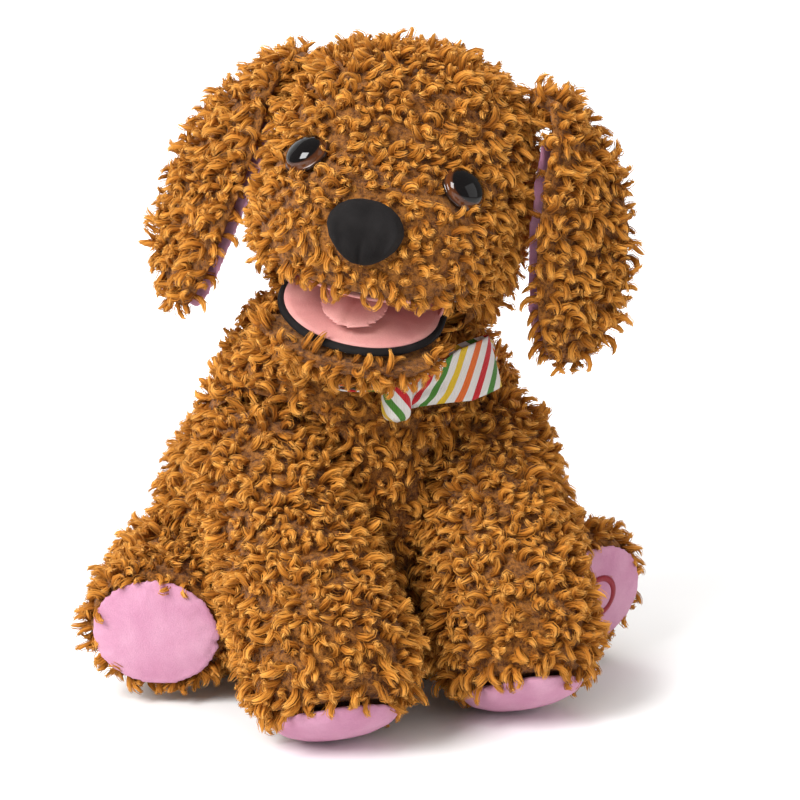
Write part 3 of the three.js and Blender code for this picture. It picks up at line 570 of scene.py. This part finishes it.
def make_backings():
    """One backing for each plush body, in a dictionary by body."""
    growth, case_growth, hatch_room = 0.8 * MM, 1.3 * MM, 0.8 * MM
    cases = [("battery_case", case_growth), ("case_cover", case_growth)]
    torso = joined("torso_plush", [("torso_skin", 0), ("torso_stuffing", growth)] + cases)
    remeshed(torso, 3.0 * MM, 6)
    shifted(torso, -1.5 * MM)
    low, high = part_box("battery_case")
    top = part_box("case_cover")[1].z + hatch_room
    cut_hatch(torso, (low.x - hatch_room, low.y - hatch_room, 0), (high.x + hatch_room, high.y + hatch_room, top))
    finished(torso, "torso", SHADED_BACKING, "fur", "torso_skin", "torso_stuffing")
    made = {"torso": torso}
    head = [("head_skin", 0), ("head_stuffing", growth)]
    made["head"] = backing("head_plush", "head", head, 2.6 * MM, 5, 1.5 * MM)
    made["jaw"] = backing("jaw_plush", "jaw", [("chin_plush", 0)], 2.0 * MM, 3, 1.0 * MM)
    made["tail"] = backing("tail_plush", "tail", [("tail", 0)], 2.2 * MM, 3, 1.0 * MM)
    for side in ("left", "right"):
        ear = [(f"ear_plush_{side}", 0)]
        made[f"ear_{side}"] = backing(f"ear_back_{side}", f"ear_{side}", ear, 1.8 * MM, 4, 0.6 * MM)
        for end in ("front", "hind"):
            leg, body = [(f"{end}_leg_{side}", 0)], f"leg_{end}_{side}"
            made[body] = backing(f"{end}_leg_plush_{side}", body, leg, 2.6 * MM, 5, 1.5 * MM)
    return made


# ---- Curled pile ----


def scattered(obj, spacing, seed):
    """Points spread evenly over a surface, with smooth normals, no two closer than the spacing."""
    rng = np.random.default_rng(seed)
    points, faces = corner_data(obj)
    normals = values_of(obj.data.vertices, "normal")
    a, b, c = points[faces[:, 0]], points[faces[:, 1]], points[faces[:, 2]]
    areas = np.linalg.norm(np.cross(b - a, c - a), axis=1) / 2
    count = int(areas.sum() / spacing**2 * 5)
    chosen = rng.choice(len(faces), count, p=areas / areas.sum())
    u, v = rng.random(count), rng.random(count)
    over = u + v > 1
    u[over], v[over] = 1 - u[over], 1 - v[over]
    shares = np.stack([1 - u - v, u, v], axis=1)[:, :, None]
    corners = faces[chosen]
    places = (points[corners] * shares).sum(axis=1)
    directions = unit((normals[corners] * shares).sum(axis=1))
    cells = np.floor(places / spacing).astype(int)
    taken, kept = {}, []
    around = [(i, j, k) for i in (-1, 0, 1) for j in (-1, 0, 1) for k in (-1, 0, 1)]
    for number, cell in enumerate(map(tuple, cells)):
        beside = [(cell[0] + i, cell[1] + j, cell[2] + k) for i, j, k in around]
        near = [other for key in beside for other in taken.get(key, ())]
        if near and np.min(np.sum((places[near] - places[number]) ** 2, axis=1)) < spacing**2:
            continue
        taken.setdefault(cell, []).append(number)
        kept.append(number)
    return places[kept], directions[kept]


def with_room(points, normals, own, others, bare, edges):
    """How large a lock each root has room for, as a share of a full lock: 0 where none fits.

    Locks keep clear of the bare pieces, and lie over the rims of the edge pieces.
    """
    lift, view = 0.6 * MM, 9 * MM
    overhead = ((own, view), (bare, 6 * MM), (edges, 4 * MM))
    sizes = np.zeros(len(points))
    for number, (point, normal) in enumerate(zip(map(Vector, points), map(Vector, normals))):
        start = point + normal * lift
        near = bare.find_nearest(point, view)
        gap = near[3] if near[0] else view
        if gap < RIM_GAP or edges.find_nearest(point, lift)[0]:
            continue
        if any(tree.ray_cast(start, normal, reach)[0] for tree, reach in overhead):
            continue
        sizes[number] = min(1, 0.7 + 0.3 * (gap - RIM_GAP) / (3 * MM))
        for other in others:
            hit = other.ray_cast(start, normal, 8 * MM)
            if hit[0]:
                room = hit[3] / (7 * MM)
                sizes[number] = 0 if room < 0.4 else min(sizes[number], room)
    return sizes


def lock_paths(points, normals, sizes, rng, lean):
    """The middle line of each lock: a rising, leaning, tightening ring."""
    count = len(points)
    flow = lean - normals * np.sum(lean * normals, axis=1, keepdims=True)
    flow = unit(flow, 1e-6)
    turn = rng.normal(0, 1.0, count)[:, None]
    flow = flow * np.cos(turn) + np.cross(normals, flow) * np.sin(turn)
    side = np.cross(normals, flow) * rng.choice([-1, 1], count)[:, None]
    tip_u = rng.normal(0, 0.35, count)[:, None]
    tip_w = rng.normal(0, 0.45, count)[:, None]
    axis_u = flow * np.cos(tip_u) + normals * np.sin(tip_u)
    axis_w = side * np.cos(tip_w) + normals * np.sin(tip_w)
    ring = (LOCK_RING * sizes * rng.uniform(0.8, 1.2, count))[:, None, None]
    height = (LOCK_HEIGHT * sizes * rng.uniform(0.8, 1.12, count))[:, None, None]
    swing = rng.uniform(2.7, 4.5, count)[:, None, None]
    start = rng.uniform(0, FULL_TURN, count)[:, None, None]
    s = np.linspace(0, 1, STEPS + 1)[None, :, None]
    angle = start + swing * s
    radius = ring * (1 - 0.5 * s)
    u, w = axis_u[:, None], axis_w[:, None]
    radial = np.cos(angle) * u + np.sin(angle) * w
    swirl = radius * radial - ring * (np.cos(start) * u + np.sin(start) * w)
    rise = height * (1 - (1 - s) ** 1.5) * normals[:, None]
    drift = LOCK_DRIFT * sizes[:, None, None] * s**1.5 * flow[:, None]
    middle = points[:, None] + swirl + rise + drift
    return middle, radial


def spindle(sides):
    """Faces and map corners of one closed, tapering strand."""
    faces, places = [], []
    for i in range(STEPS - 1):
        for j in range(sides):
            n = (j + 1) % sides
            a, b, c, d = sides * i + j, sides * i + n, sides * (i + 1) + n, sides * (i + 1) + j
            faces += [(a, b, c), (a, c, d)]
            places += [[(i, j), (i, j + 1), (i + 1, j + 1)], [(i, j), (i + 1, j + 1), (i + 1, j)]]
    last = sides * (STEPS - 1)
    for j in range(sides):
        faces.append((last + j, last + (j + 1) % sides, last + sides))
        places.append([(STEPS - 1, j), (STEPS - 1, j + 1), (STEPS, j + 0.5)])
    for j in range(1, sides - 1):
        faces.append((0, j + 1, j))
        places.append([(0, 0), (0, j + 1), (0, j)])
    return np.array(faces), np.array(places, float) / [STEPS, sides]


def spindle_points(lines, radial, axial, radius, sides, groove, twist):
    """The points of closed, slightly flattened strands: rings along each line and one tip."""
    count = len(lines)
    corners = np.arange(sides) * 2 * math.pi / sides
    depth = 1 - groove * (np.arange(sides) % 2)
    turn = corners[None, None] + twist[:, None, None] * np.linspace(0, 1, STEPS + 1)[None, :, None]
    size = radius[:, :, None] * depth
    ring = (np.cos(turn) * size * 1.15)[..., None] * radial[:, :, None]
    ring = ring + (np.sin(turn) * size * 0.85)[..., None] * axial[:, :, None]
    rings = (lines[:, :, None] + ring)[:, :STEPS].reshape(count, STEPS * sides, 3)
    return np.concatenate([rings, lines[:, STEPS:]], axis=1)


def pressed(points):
    """Pile the toy sits on is pressed flat against the seat plane."""
    height = points[..., 2]
    low = height < PRESSED_BELOW
    span = PRESSED_BELOW - SEAT_LEVEL
    height[low] = SEAT_LEVEL + span * np.exp((height[low] - PRESSED_BELOW) / span)
    return points


def stray_lines(middle, radial, axial, core, rng):
    """The middle lines of the stray strands round each wisp, which spread towards its tip."""
    count = len(middle)
    s = np.linspace(0, 1, STEPS + 1)
    spin = rng.uniform(0, FULL_TURN, (count, 1)) + np.arange(STRAYS) * FULL_TURN / STRAYS
    spin = spin[:, :, None] + rng.normal(0, 0.7, (count, STRAYS, 1)) * s
    reach = rng.uniform(0.9, 1.7, (count, STRAYS, 1)) * core[:, None] + 0.55 * MM * s**2
    lines = middle[:, None] + (np.cos(spin) * reach)[..., None] * radial[:, None]
    lines = lines + (np.sin(spin) * reach)[..., None] * axial[:, None]
    return lines.reshape(count * STRAYS, STEPS + 1, 3)


def lock_mesh(name, points, normals, sizes, rng, lean):
    """One mesh of many locks: each a grooved, curled wisp with a few stray strands about it."""
    middle, radial = lock_paths(points, normals, sizes, rng, lean)
    count = len(points)
    ahead = unit(np.gradient(middle, axis=1))
    radial = unit(radial - ahead * np.sum(radial * ahead, axis=2, keepdims=True))
    axial = np.cross(ahead, radial)
    s = np.linspace(0, 1, STEPS + 1)
    swell = (0.5 + 0.65 * np.sin(math.pi * s**0.8)) * (1 - 0.75 * s**4)
    core = WISP_RADIUS * swell[None] * (sizes * rng.uniform(0.85, 1.15, count))[:, None]
    twist = rng.uniform(-2.2, 2.2, count)
    core_points = spindle_points(middle, radial, axial, core, WISP_SIDES, WISP_GROOVE, twist)
    lines = stray_lines(middle, radial, axial, core, rng)
    thin = np.tile(STRAND_RADIUS * (1 - 0.6 * s**2), (len(lines), 1))
    frame_u, frame_w = (np.repeat(side, STRAYS, axis=0) for side in (radial, axial))
    stray_points = spindle_points(lines, frame_u, frame_w, thin, STRAY_SIDES, 0.0, np.zeros(len(lines)))
    rows = rng.integers(0, COLOUR_ROWS, count)
    parts = [(core_points, WISP_SIDES, rows), (stray_points, STRAY_SIDES, np.repeat(rows, STRAYS))]
    all_points, all_faces, all_uvs, start = [], [], [], 0
    for part, sides, part_rows in parts:
        faces, places = spindle(sides)
        first = start + np.arange(len(part)) * part.shape[1]
        all_faces.append((faces[None] + first[:, None, None]).reshape(-1, 3))
        uvs = np.empty((len(part), len(faces), 3, 2), np.float32)
        uvs[..., 0] = places[None, ..., 0]
        uvs[..., 1] = (part_rows[:, None, None] + 0.08 + 0.84 * places[None, ..., 1]) / COLOUR_ROWS
        all_uvs.append(uvs.reshape(-1, 3, 2))
        all_points.append(part.reshape(-1, 3))
        start += part.shape[0] * part.shape[1]
    return new_object(name, pressed(np.vstack(all_points)), np.vstack(all_faces), np.vstack(all_uvs), "OFBake")


def leaning(raised):
    """Pile that stands up where raised is true, and lies down elsewhere."""
    return np.where(raised[:, None], [[0, 0, 1.0]], [[0, 0, -1.0]])


def hanging(points, normals):
    """Pile that lies down everywhere."""
    return leaning(np.full(len(points), False))


def band_heights(points):
    """The height of the collar's plane beside each point."""
    low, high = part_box("collar_ribbon")
    middle = (low + high) / 2

    def terms(places):
        turns = np.arctan2(places[:, 1] - middle.y, places[:, 0] - middle.x)
        return np.stack([np.cos(turns), np.sin(turns), np.ones(len(turns))], axis=1)

    corners, _ = corner_data(NODES["collar_ribbon"])
    fit = np.linalg.lstsq(terms(corners), corners[:, 2], rcond=None)[0]
    return terms(points) @ fit


def round_collar(points, normals):
    """Pile lies down over the collar from above, and stands up against it from below."""
    level = band_heights(points) - points[:, 2]
    return leaning((level > 0) & (level < 14 * MM))


def face_share(points, normals):
    """Shorter locks towards the nose and on the muzzle."""
    ahead = -head_places(points)[1]
    return 1 - 0.2 * np.clip((ahead - 25) / 25, 0, 1)


def chin_share(points, normals):
    """No pile under the mouth's floor."""
    across, ahead, above = on_floor(points)
    return np.where((np.abs(across) < 28.5) & (ahead < 55) & (above > -5), 0.0, 1.0)


def chin_lean(points, normals):
    """Pile stands up against the lip, and hangs further down."""
    return leaning(on_floor(points)[2] > -7)


def pile(name, body, base, spacing, seed, others, clear, lean=hanging, scale=1.0, share=None):
    """Covers a backing with locks, in as many pieces as it takes."""
    points, normals = scattered(base, spacing, seed)
    sizes = with_room(points, normals, tree_of(base), others, *clear)
    if share is not None:
        sizes = sizes * share(points, normals)
    sizes = sizes * scale
    keep = sizes > SMALLEST_LOCK
    points, normals, sizes = points[keep], normals[keep], sizes[keep]
    order = np.argsort(np.arctan2(points[:, 1] - points[:, 1].mean(), points[:, 0] - points[:, 0].mean()))
    points, normals, sizes = points[order], normals[order], sizes[order]
    points = points - normals * ROOT_DEPTH
    rng = np.random.default_rng(seed + 1)
    pieces = max(1, math.ceil(len(points) / LOCKS_PER_PIECE))
    for number, part in enumerate(np.array_split(np.arange(len(points)), pieces)):
        lean_here = lean(points[part], normals[part])
        obj = lock_mesh(f"{name}_{number + 1}", points[part], normals[part], sizes[part], rng, lean_here)
        finished(obj, body, PILE, "fur")


# ---- Bare soft pieces ----


def sole(end, side):
    """A padded velour sole, swollen a little over its stuffing."""
    node = f"{end}_sole_{side}"
    voxel = (1.6 if end == "front" else 1.3) * MM
    obj = subdivided(puffed(joined(f"{end}_sole_pad_{side}", [(node, 0)]), voxel, 4.0, 1.2 * MM))
    return finished(obj, f"leg_{end}_{side}", PINK, "sole", node)


def press_mark():
    """A ring of satin stitches on the left hind sole, over the press switch."""
    button = centre_of("press_button")
    axis = -Vector(joint("press_button_slide")["axis"]).normalized()
    tree = tree_of(bpy.data.objects["hind_sole_pad_left"])
    rows, cols = 7, 264
    ring_radius, half_width, sunk = 8.4, 1.5, 0.15
    points = []
    for row in range(rows):
        share = row / (rows - 1) * 2 - 1
        for col, spoke in enumerate(spokes(axis, cols)):
            thread = col % 4 < 2
            radius = (ring_radius + half_width * share + (0.12 if thread else -0.12) * abs(share)) * MM
            place = button + spoke * radius
            hit = tree.ray_cast(place + axis * 30 * MM, -axis, 60 * MM)[0]
            crown = 0.75 * (1 - share * share) + (0.14 if thread else 0) - sunk
            points.append((hit or place) + axis * crown * MM)
    obj = thickened(new_object("press_mark", points, grid_faces(rows, cols, True)), 0.5 * MM, -1)
    return finished(obj, "leg_hind_left", RED_THREAD, "button")


def ear_lining(side):
    """The pink inside of an ear, lightly padded."""
    node = f"ear_lining_{side}"
    obj = subdivided(puffed(joined(f"ear_inside_{side}", [(node, 0.25 * MM)]), 1.1 * MM, 2.5, 0.9 * MM, 8))
    return finished(obj, f"ear_{side}", PINK, "sole", node)


def nose_pad():
    """A stuffed velour nose with two shallow nostril folds under a broad top."""
    obj = joined("nose_pad", [("nose", 0)])
    remeshed(obj, 0.9 * MM, 6)
    points, _ = corner_data(obj)
    centre = np.array(centre_of("nose"))
    x, y, z = head_places(points, centre)
    front = np.clip((-y + 2) / 5, 0, 1)
    fold = 1.7 * np.exp(-((np.abs(x) - 8.6) ** 2) / 5 - (z + 3.5) ** 2 / 22) * front
    crease = 1.2 * np.exp(-(x**2) / 1.4 - (z + 8) ** 2 / 26) * front
    narrow = 1.04 - 0.3 * np.clip((2 - z) / 13, 0, 1) ** 1.3
    moved = np.outer(x * narrow, HEAD_X) + np.outer(y + fold + crease, HEAD_Y) + np.outer(z * 1.02, HEAD_Z)
    obj = subdivided(set_points(obj, centre + moved * MM))
    return finished(obj, "head", BLACK, "black_cloth", "nose")


def welded_points(node):
    """The points of a CAD node, each counted once."""
    obj = joined("measure", [(node, 0)])
    points, _ = corner_data(obj)
    bpy.data.objects.remove(obj)
    return points


def eye(side):
    """The safety eye's dome and rim, turned about the axis of its stem."""
    points = welded_points(f"eye_{side}")
    origin = Vector(welded_points(f"eye_washer_{side}").mean(axis=0))
    axis = (Vector(points.mean(axis=0)) - origin).normalized()
    top = ((points - np.array(origin)) @ np.array(axis)).max()
    radius, dome_start, dome_height = 8.2, 1.6, 4.6
    base = origin + axis * (top - 6.1 * MM)
    profile = [(0.0, -1.0), (8.2, -1.0), (9.1, -0.4), (9.3, 0.5), (9.0, 1.1), (8.5, 1.35), (radius, dome_start)]
    for step in range(1, 11):
        turn = math.pi / 2 * step / 10
        profile.append((radius * math.cos(turn), dome_start + dome_height * math.sin(turn)))
    spread = spokes(axis, 48)
    rings = []
    for reach, height in profile:
        rings += [base + (spoke * max(reach, 0.01) + axis * height) * MM for spoke in spread]
    faces = grid_faces(len(profile), len(spread), True)[:, ::-1]
    obj = outward(new_object(f"safety_eye_{side}", rings, faces), 0.03 * MM)
    return finished(obj, "head", eye_surface(base, axis), "eye", f"eye_{side}")


# ---- Mouth ----


def lip_outline(half, length, back, count):
    """The mouth's U-shaped edge in millimetres: back on one side, round the lips, and back on the other."""
    front = half * 0.92
    straight = length - front - back
    arc = math.pi * (half + front) / 2
    places = []
    for number in range(count):
        run = number / (count - 1) * (2 * straight + arc)
        if run < straight:
            places.append((-half, -back - run))
        elif run < straight + arc:
            turn = math.pi + (run - straight) / arc * math.pi
            places.append((half * math.cos(turn), -length + front + front * math.sin(turn)))
        else:
            places.append((half, -back - (2 * straight + arc - run)))
    return places


def mouth_sheet(name, half, length, back, level, cup, tilt):
    """A velour sheet that fills the mouth's outline, dished towards its edge."""
    outline = lip_outline(half, length, back, 45)
    spine = -length + half * 0.92
    rows = 12
    points = []
    for share in [row / (rows - 1) for row in range(rows)]:
        for x, y in outline:
            middle = max(y, spine)
            place_y = middle + (y - middle) * share
            wave = 0.35 * math.sin(0.35 * place_y + 0.2 * x) * (1 - share)
            points.append(mouth_point(x * share, place_y, level + cup * share**2 + wave, tilt))
    obj = outward(new_object(name, points, grid_faces(rows, len(outline))), 0.05 * MM)
    return thickened(obj, 1.0 * MM)


def tube(name, path, radius, sides=12):
    """A round cord along a path of points, rounded off and closed at both ends."""
    rings = []
    for number, point in enumerate(path):
        ahead = (path[min(number + 1, len(path) - 1)] - path[max(number - 1, 0)]).normalized()
        end = min(number, len(path) - 1 - number)
        size = radius * (0.15 if end == 0 else 0.7 if end == 1 else 1)
        rings += [point + spoke * size for spoke in spokes(ahead, sides)]
    return outward(new_object(name, rings, grid_faces(len(path), sides, True)), capped=True)


def mouth_pieces():
    """The roof, the floor, the black lip cord, the folded sides and the tongue."""
    roof = mouth_sheet("mouth_roof", 29.5, 53, 6, 8.4, -1.0, ROOF_TILT)
    finished(roof, "head", MOUTH, "mouth", "palate_lining")
    floor = mouth_sheet("mouth_floor", 30.4, 56.6, 5, 1.2, 0.5, FLOOR_TILT)
    finished(floor, "jaw", MOUTH, "mouth", "jaw_lining")
    edge = [mouth_point(x, y, 0.4, FLOOR_TILT) for x, y in lip_outline(31.2, 57.4, 12, 60)]
    finished(tube("lip_cord", edge, 1.55 * MM), "jaw", BLACK, "black_cloth", "lip_piping")
    gusset()
    tongue_pad()


def gusset():
    """The folded velour at the back and corners of the mouth, between its roof and its floor."""
    plan = [(-30, -25), (-30, -21), (-30, -16), (-29, -11), (-26, -8), (-18, -6), (-8, -5.5)]
    plan += [(-x, y) for x, y in reversed(plan)]
    rows = 7
    points = []
    for share in [row / (rows - 1) for row in range(rows)]:
        bulge = 1 + 0.04 * math.sin(math.pi * share)
        for x, y in plan:
            top = mouth_point(x * bulge, y, 7.6, ROOF_TILT)
            points.append(top.lerp(mouth_point(x * bulge, y, 1.6, FLOOR_TILT), share))
    obj = new_object("mouth_gusset", points, grid_faces(rows, len(plan)))
    thickened(subdivided(obj), 0.9 * MM)
    painted(obj, MOUTH)
    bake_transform(obj)


def tongue_pad():
    """A soft tongue with a middle crease, lying on the floor of the mouth."""
    obj = joined("tongue_pad", [("tongue", 0)])
    puffed(obj, 0.9 * MM, 3.0, 0.8 * MM, 8)
    points, _ = corner_data(obj)
    across, _, height = on_floor(points)
    crease = 1.6 * np.exp(-((across + 2) ** 2) / 5) * np.clip((height - 4) / 3, 0, 1)
    rise = 0.8 + np.clip(height - 3, 0, None) * 0.4 - crease
    above = np.array(HEAD_Z) * math.cos(FLOOR_TILT) - np.array(HEAD_Y) * math.sin(FLOOR_TILT)
    obj = subdivided(set_points(obj, points + np.outer(rise, above) * MM))
    finished(obj, "jaw", MOUTH, "mouth", "tongue")


# ---- Ribbon ----

# Each loop of the bow, in millimetres: where it starts and where its CAD loop is aimed from, both from the knot,
# how full it is, and how much it falls short of its CAD loop. Its width is a share of the ribbon's.
BOW_LOOPS = {
    "left": {"start": (0, 0, 0), "aim": (0, 0, 0), "up": (-0.3, 0, 1), "swell": 6.2, "short": 2, "width": 1.0},
    "right": {
        "start": (0, -0.5, 5.2), "aim": (0, -5.5, 0.5), "up": (0, -1, 0.1),
        "swell": 1.3, "short": 12, "width": 0.62,
    },
}


def band_hits(ring, middle, low, high, turn):
    """Height and reach of the CAD collar's outside at one turn round the neck, from its foot upwards."""
    out = Vector((math.cos(turn), math.sin(turn), 0))
    levels, outside, depth = 60, 0.12, 0.11
    hits = []
    for step in range(levels):
        z = low + (high - low) * (step + 0.5) / levels
        centre = Vector((middle.x, middle.y, z))
        hit = ring.ray_cast(centre + out * outside, -out, depth)[0]
        if hit:
            hits.append((z, (hit - centre).length))
    return hits


def collar_band():
    """The ribbon round the neck: a smooth band over its CAD ring, tucked into the pile on the right."""
    ring = tree_of(NODES["collar_ribbon"])
    low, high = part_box("collar_ribbon")
    middle = (low + high) / 2
    length, width = 341.0, 10.0
    cols, rows = 120, 7
    turns = FULL_TURN * np.arange(cols) / cols
    reach = np.zeros((rows, cols))
    heights = np.zeros((rows, cols))
    for col, turn in enumerate(turns):
        hits = band_hits(ring, middle, low.z, high.z, turn)
        bottom, top = hits[0][0], hits[-1][0]
        for row in range(rows):
            z = bottom + (top - bottom) * row / (rows - 1)
            heights[row, col] = z
            reach[row, col] = min(hits, key=lambda pair: abs(pair[0] - z))[1]
    degrees = np.degrees(turns)
    tucked = np.clip((degrees - 140) / 25, 0, 1) * np.clip((276 - degrees) / 12, 0, 1)
    reach -= (1.9 + 4.6 * tucked) * MM
    for _ in range(4):
        for values in (reach, heights):
            values[:] = (np.roll(values, 1, axis=1) + values + np.roll(values, -1, axis=1)) / 3
    points = np.stack([middle.x + reach * np.cos(turns), middle.y + reach * np.sin(turns), heights], axis=2)
    faces = grid_faces(rows, cols, True)
    row_of, col_of = faces // cols, faces % cols
    seam = (np.roll(col_of, 1, axis=1) != 0) | (col_of.max(axis=1, keepdims=True) > 1)
    lap = np.where((col_of == 0) & seam, cols, 0)
    uvs = np.stack([(col_of + lap) / cols * length, row_of / (rows - 1) * width], axis=2)
    obj = thickened(new_object("collar_band", points.reshape(-1, 3), faces, uvs), 0.6 * MM, -1)
    return finished(obj, "torso", RIBBON, "ribbon", "collar_ribbon")


def ribbon_sheet(name, rows, cols, points, places):
    """A sheet of ribbon from a grid of points and their places on the print, in millimetres."""
    faces = grid_faces(rows, cols)
    return new_object(name, points, faces, np.array(places)[faces])


def bow_loop(side):
    """One loop of the bow: pinched and pleated at the knot, full width where it turns back.

    The left loop stands on edge. The right one lies flat under the chin.
    """
    form = BOW_LOOPS[side]
    knot = centre_of("bow_knot")
    start = knot + Vector(form["start"]) * MM
    away = centre_of(f"bow_loop_{side}") - (knot + Vector(form["aim"]) * MM)
    reach = 2 * away.length - form["short"] * MM
    x = away.normalized()
    y = Vector(form["up"]).cross(x).normalized()
    z = x.cross(y)
    rows, cols = 49, 15
    points, places, run = [], [], 0.0
    previous = Vector((0, 0, 0))
    for row in range(rows):
        t = row / (rows - 1)
        along = reach * math.sin(math.pi * t) ** 0.62
        across = form["swell"] * MM * math.cos(math.pi * t) * math.sin(math.pi * t) ** 0.5
        here = Vector((along, across, 0))
        run += (here - previous).length / MM
        previous = here
        opened = min(1, along / reach * 1.55)
        half = (4.2 + 6.6 * opened**1.3) * form["width"] * MM
        for col in range(cols):
            v = col / (cols - 1) * 2 - 1
            pleat = 1.0 * MM * math.cos(v * 7.5) * (1 - opened) ** 1.2
            curl = 0.9 * MM * (v * v - 0.4) * (1 if t < 0.5 else -1) * opened
            place = x * (along - 0.8 * MM * v * v * opened) + y * (across + pleat + curl) + z * (v * half)
            points.append(start + place)
            places.append((run, (v + 1) * 10.0))
    obj = thickened(ribbon_sheet(f"bow_{side}", rows, cols, points, places), 0.6 * MM)
    return finished(obj, "torso", RIBBON, "ribbon", f"bow_loop_{side}")


def bow_wrap():
    """The knot: a gathered turn of ribbon."""
    knot = centre_of("bow_knot")
    half_height, across, deep = 8.8, 5.9, 5.4
    rows, cols = 17, 40
    points, places = [], []
    for row in range(rows):
        share = row / (rows - 1) * 2 - 1
        for col in range(cols + 1):
            turn = FULL_TURN * col / cols
            bulge = math.sqrt(max(0.0, 1 - share**4)) * (1 + 0.05 * math.cos(turn * 7 + share * 3))
            spot = (across * bulge * math.cos(turn), deep * bulge * math.sin(turn), half_height * share)
            points.append(knot + Vector(spot) * MM)
            places.append((turn * 5.5, (share + 1) * half_height))
    obj = outward(ribbon_sheet("bow_wrap", rows, cols + 1, points, places), 0.02 * MM)
    return finished(obj, "torso", RIBBON, "ribbon", "bow_knot")


# ---- Put together ----


def dress():
    """Everything soft on the frame."""
    bodies = make_backings()
    soles = [sole(end, side) for end in ("front", "hind") for side in ("left", "right")]
    press_mark()
    linings = [ear_lining(side) for side in ("left", "right")]
    nose = nose_pad()
    eyes = [eye(side) for side in ("left", "right")]
    mouth_pieces()
    band, left_loop, flat_loop, wrap = collar_band(), bow_loop("left"), bow_loop("right"), bow_wrap()
    mouth = [bpy.data.objects[name] for name in ("mouth_roof", "mouth_floor", "lip_cord")]
    clear = (
        tree_of(nose, left_loop, wrap, *linings, NODES["battery_case"]),
        tree_of(*soles, *eyes, *mouth, band, flat_loop),
    )
    trees = {name: tree_of(obj) for name, obj in bodies.items()}
    legs = [f"leg_{end}_{side}" for end in ("front", "hind") for side in ("left", "right")]

    def curls(name, seed, neighbours, prefix=None, **looks):
        others = [trees[other] for other in neighbours]
        pile(f"{prefix or name}_curls", name, bodies[name], SPACING, seed, others, clear, **looks)

    curls("torso", 11, ["head", "jaw", "tail", *legs], lean=round_collar)
    curls("head", 23, ["torso", "jaw", "ear_left", "ear_right"], share=face_share)
    curls("jaw", 31, ["torso", "head"], "chin", lean=chin_lean, scale=0.88, share=chin_share)
    curls("tail", 41, ["torso"])
    for number, leg in enumerate(legs):
        curls(leg, 51 + number, [name for name in trees if name != leg])
    for number, side in enumerate(("left", "right")):
        curls(f"ear_{side}", 61 + number, ["head"])


def paint_frame():
    """Gives each CAD node that still shows its moulded or metal surface."""
    slots = {part["node"]: part["material_slot"] for part in frame["record"]["subparts"]}
    for name, node in NODES.items():
        if slots[name] in PLASTICS:
            painted(node, PLASTICS[slots[name]])


def backdrop_light():
    """An even white world, dimmer where glossy surfaces mirror it."""
    world = bpy.data.worlds.new("studio")
    world.use_nodes = True
    nodes, link = world.node_tree.nodes, world.node_tree.links.new
    background = nodes["Background"]
    background.inputs["Color"].default_value = (1.0, 0.99, 0.98, 1)
    levels = nodes.new("ShaderNodeMapRange")
    levels.inputs["To Min"].default_value = 0.66
    levels.inputs["To Max"].default_value = 0.25
    link(nodes.new("ShaderNodeLightPath").outputs["Is Glossy Ray"], levels.inputs["Value"])
    link(levels.outputs["Result"], background.inputs["Strength"])
    return world


def studio():
    """A pale floor that runs up into a backdrop, and soft lights."""
    flat, bend, drop = 1.6, 1.2, 0.0015
    profile = [(-3.0, 0.0), (flat, 0.0)]
    for step in range(1, 13):
        turn = math.pi / 2 * step / 12
        profile.append((flat + bend * math.sin(turn), bend - bend * math.cos(turn)))
    profile.append((flat + bend, 4.5))
    points = [(x, y, z - drop) for y, z in profile for x in (-4.0, 4.0)]
    floor = new_object("floor", points, grid_faces(len(profile), 2))
    surface = Surface("paper", 0.9, Specular_IOR_Level=0.1)
    fine = surface.noise(30.0)
    surface.colour(surface.ramp(fine, [(0.0, (0.95, 0.95, 0.95)), (1.0, (0.97, 0.97, 0.97))]))
    floor.data.materials.append(surface.material)
    bpy.context.scene.world = backdrop_light()
    lamp("key", (-1.15, -0.75, 1.1), 0.8, 37)
    lamp("fill", (1.2, -0.9, 0.7), 1.1, 3)
    lamp("rim", (0.5, 1.1, 1.2), 0.8, 10)
    lamp("wash", (0, 0.9, 1.5), 2.0, 45, (0, 2.8, 1.0))
    bpy.context.scene.view_settings.view_transform = "Standard"


def placed(name, data, place, look):
    """An object at a place, facing along a direction."""
    obj = linked(name, data)
    obj.location = place
    obj.rotation_mode = "QUATERNION"
    obj.rotation_quaternion = look.to_track_quat("-Z", "Y")
    return obj


def lamp(name, place, size, power, target=(0, 0, 0.12)):
    """A square soft light aimed at a point."""
    light = bpy.data.lights.new(name, "AREA")
    light.size = size
    light.energy = power
    placed(name, light, place, Vector(target) - Vector(place))


def camera():
    """Looks at the toy from a little to its right and a little above."""
    turn, rise, distance = math.radians(-17.5), math.radians(9), 0.805
    right = Vector((math.cos(turn), math.sin(turn), 0))
    ahead = Vector((-math.sin(turn), math.cos(turn), 0))
    look = ahead * math.cos(rise) - Vector((0, 0, math.sin(rise)))
    data = bpy.data.cameras.new("camera")
    data.lens = 85
    data.sensor_width = 36
    place = right * 0.017 + UP * 0.114 - look * distance
    bpy.context.scene.camera = placed("camera", data, place, look)


dress()
paint_frame()
studio()
camera()
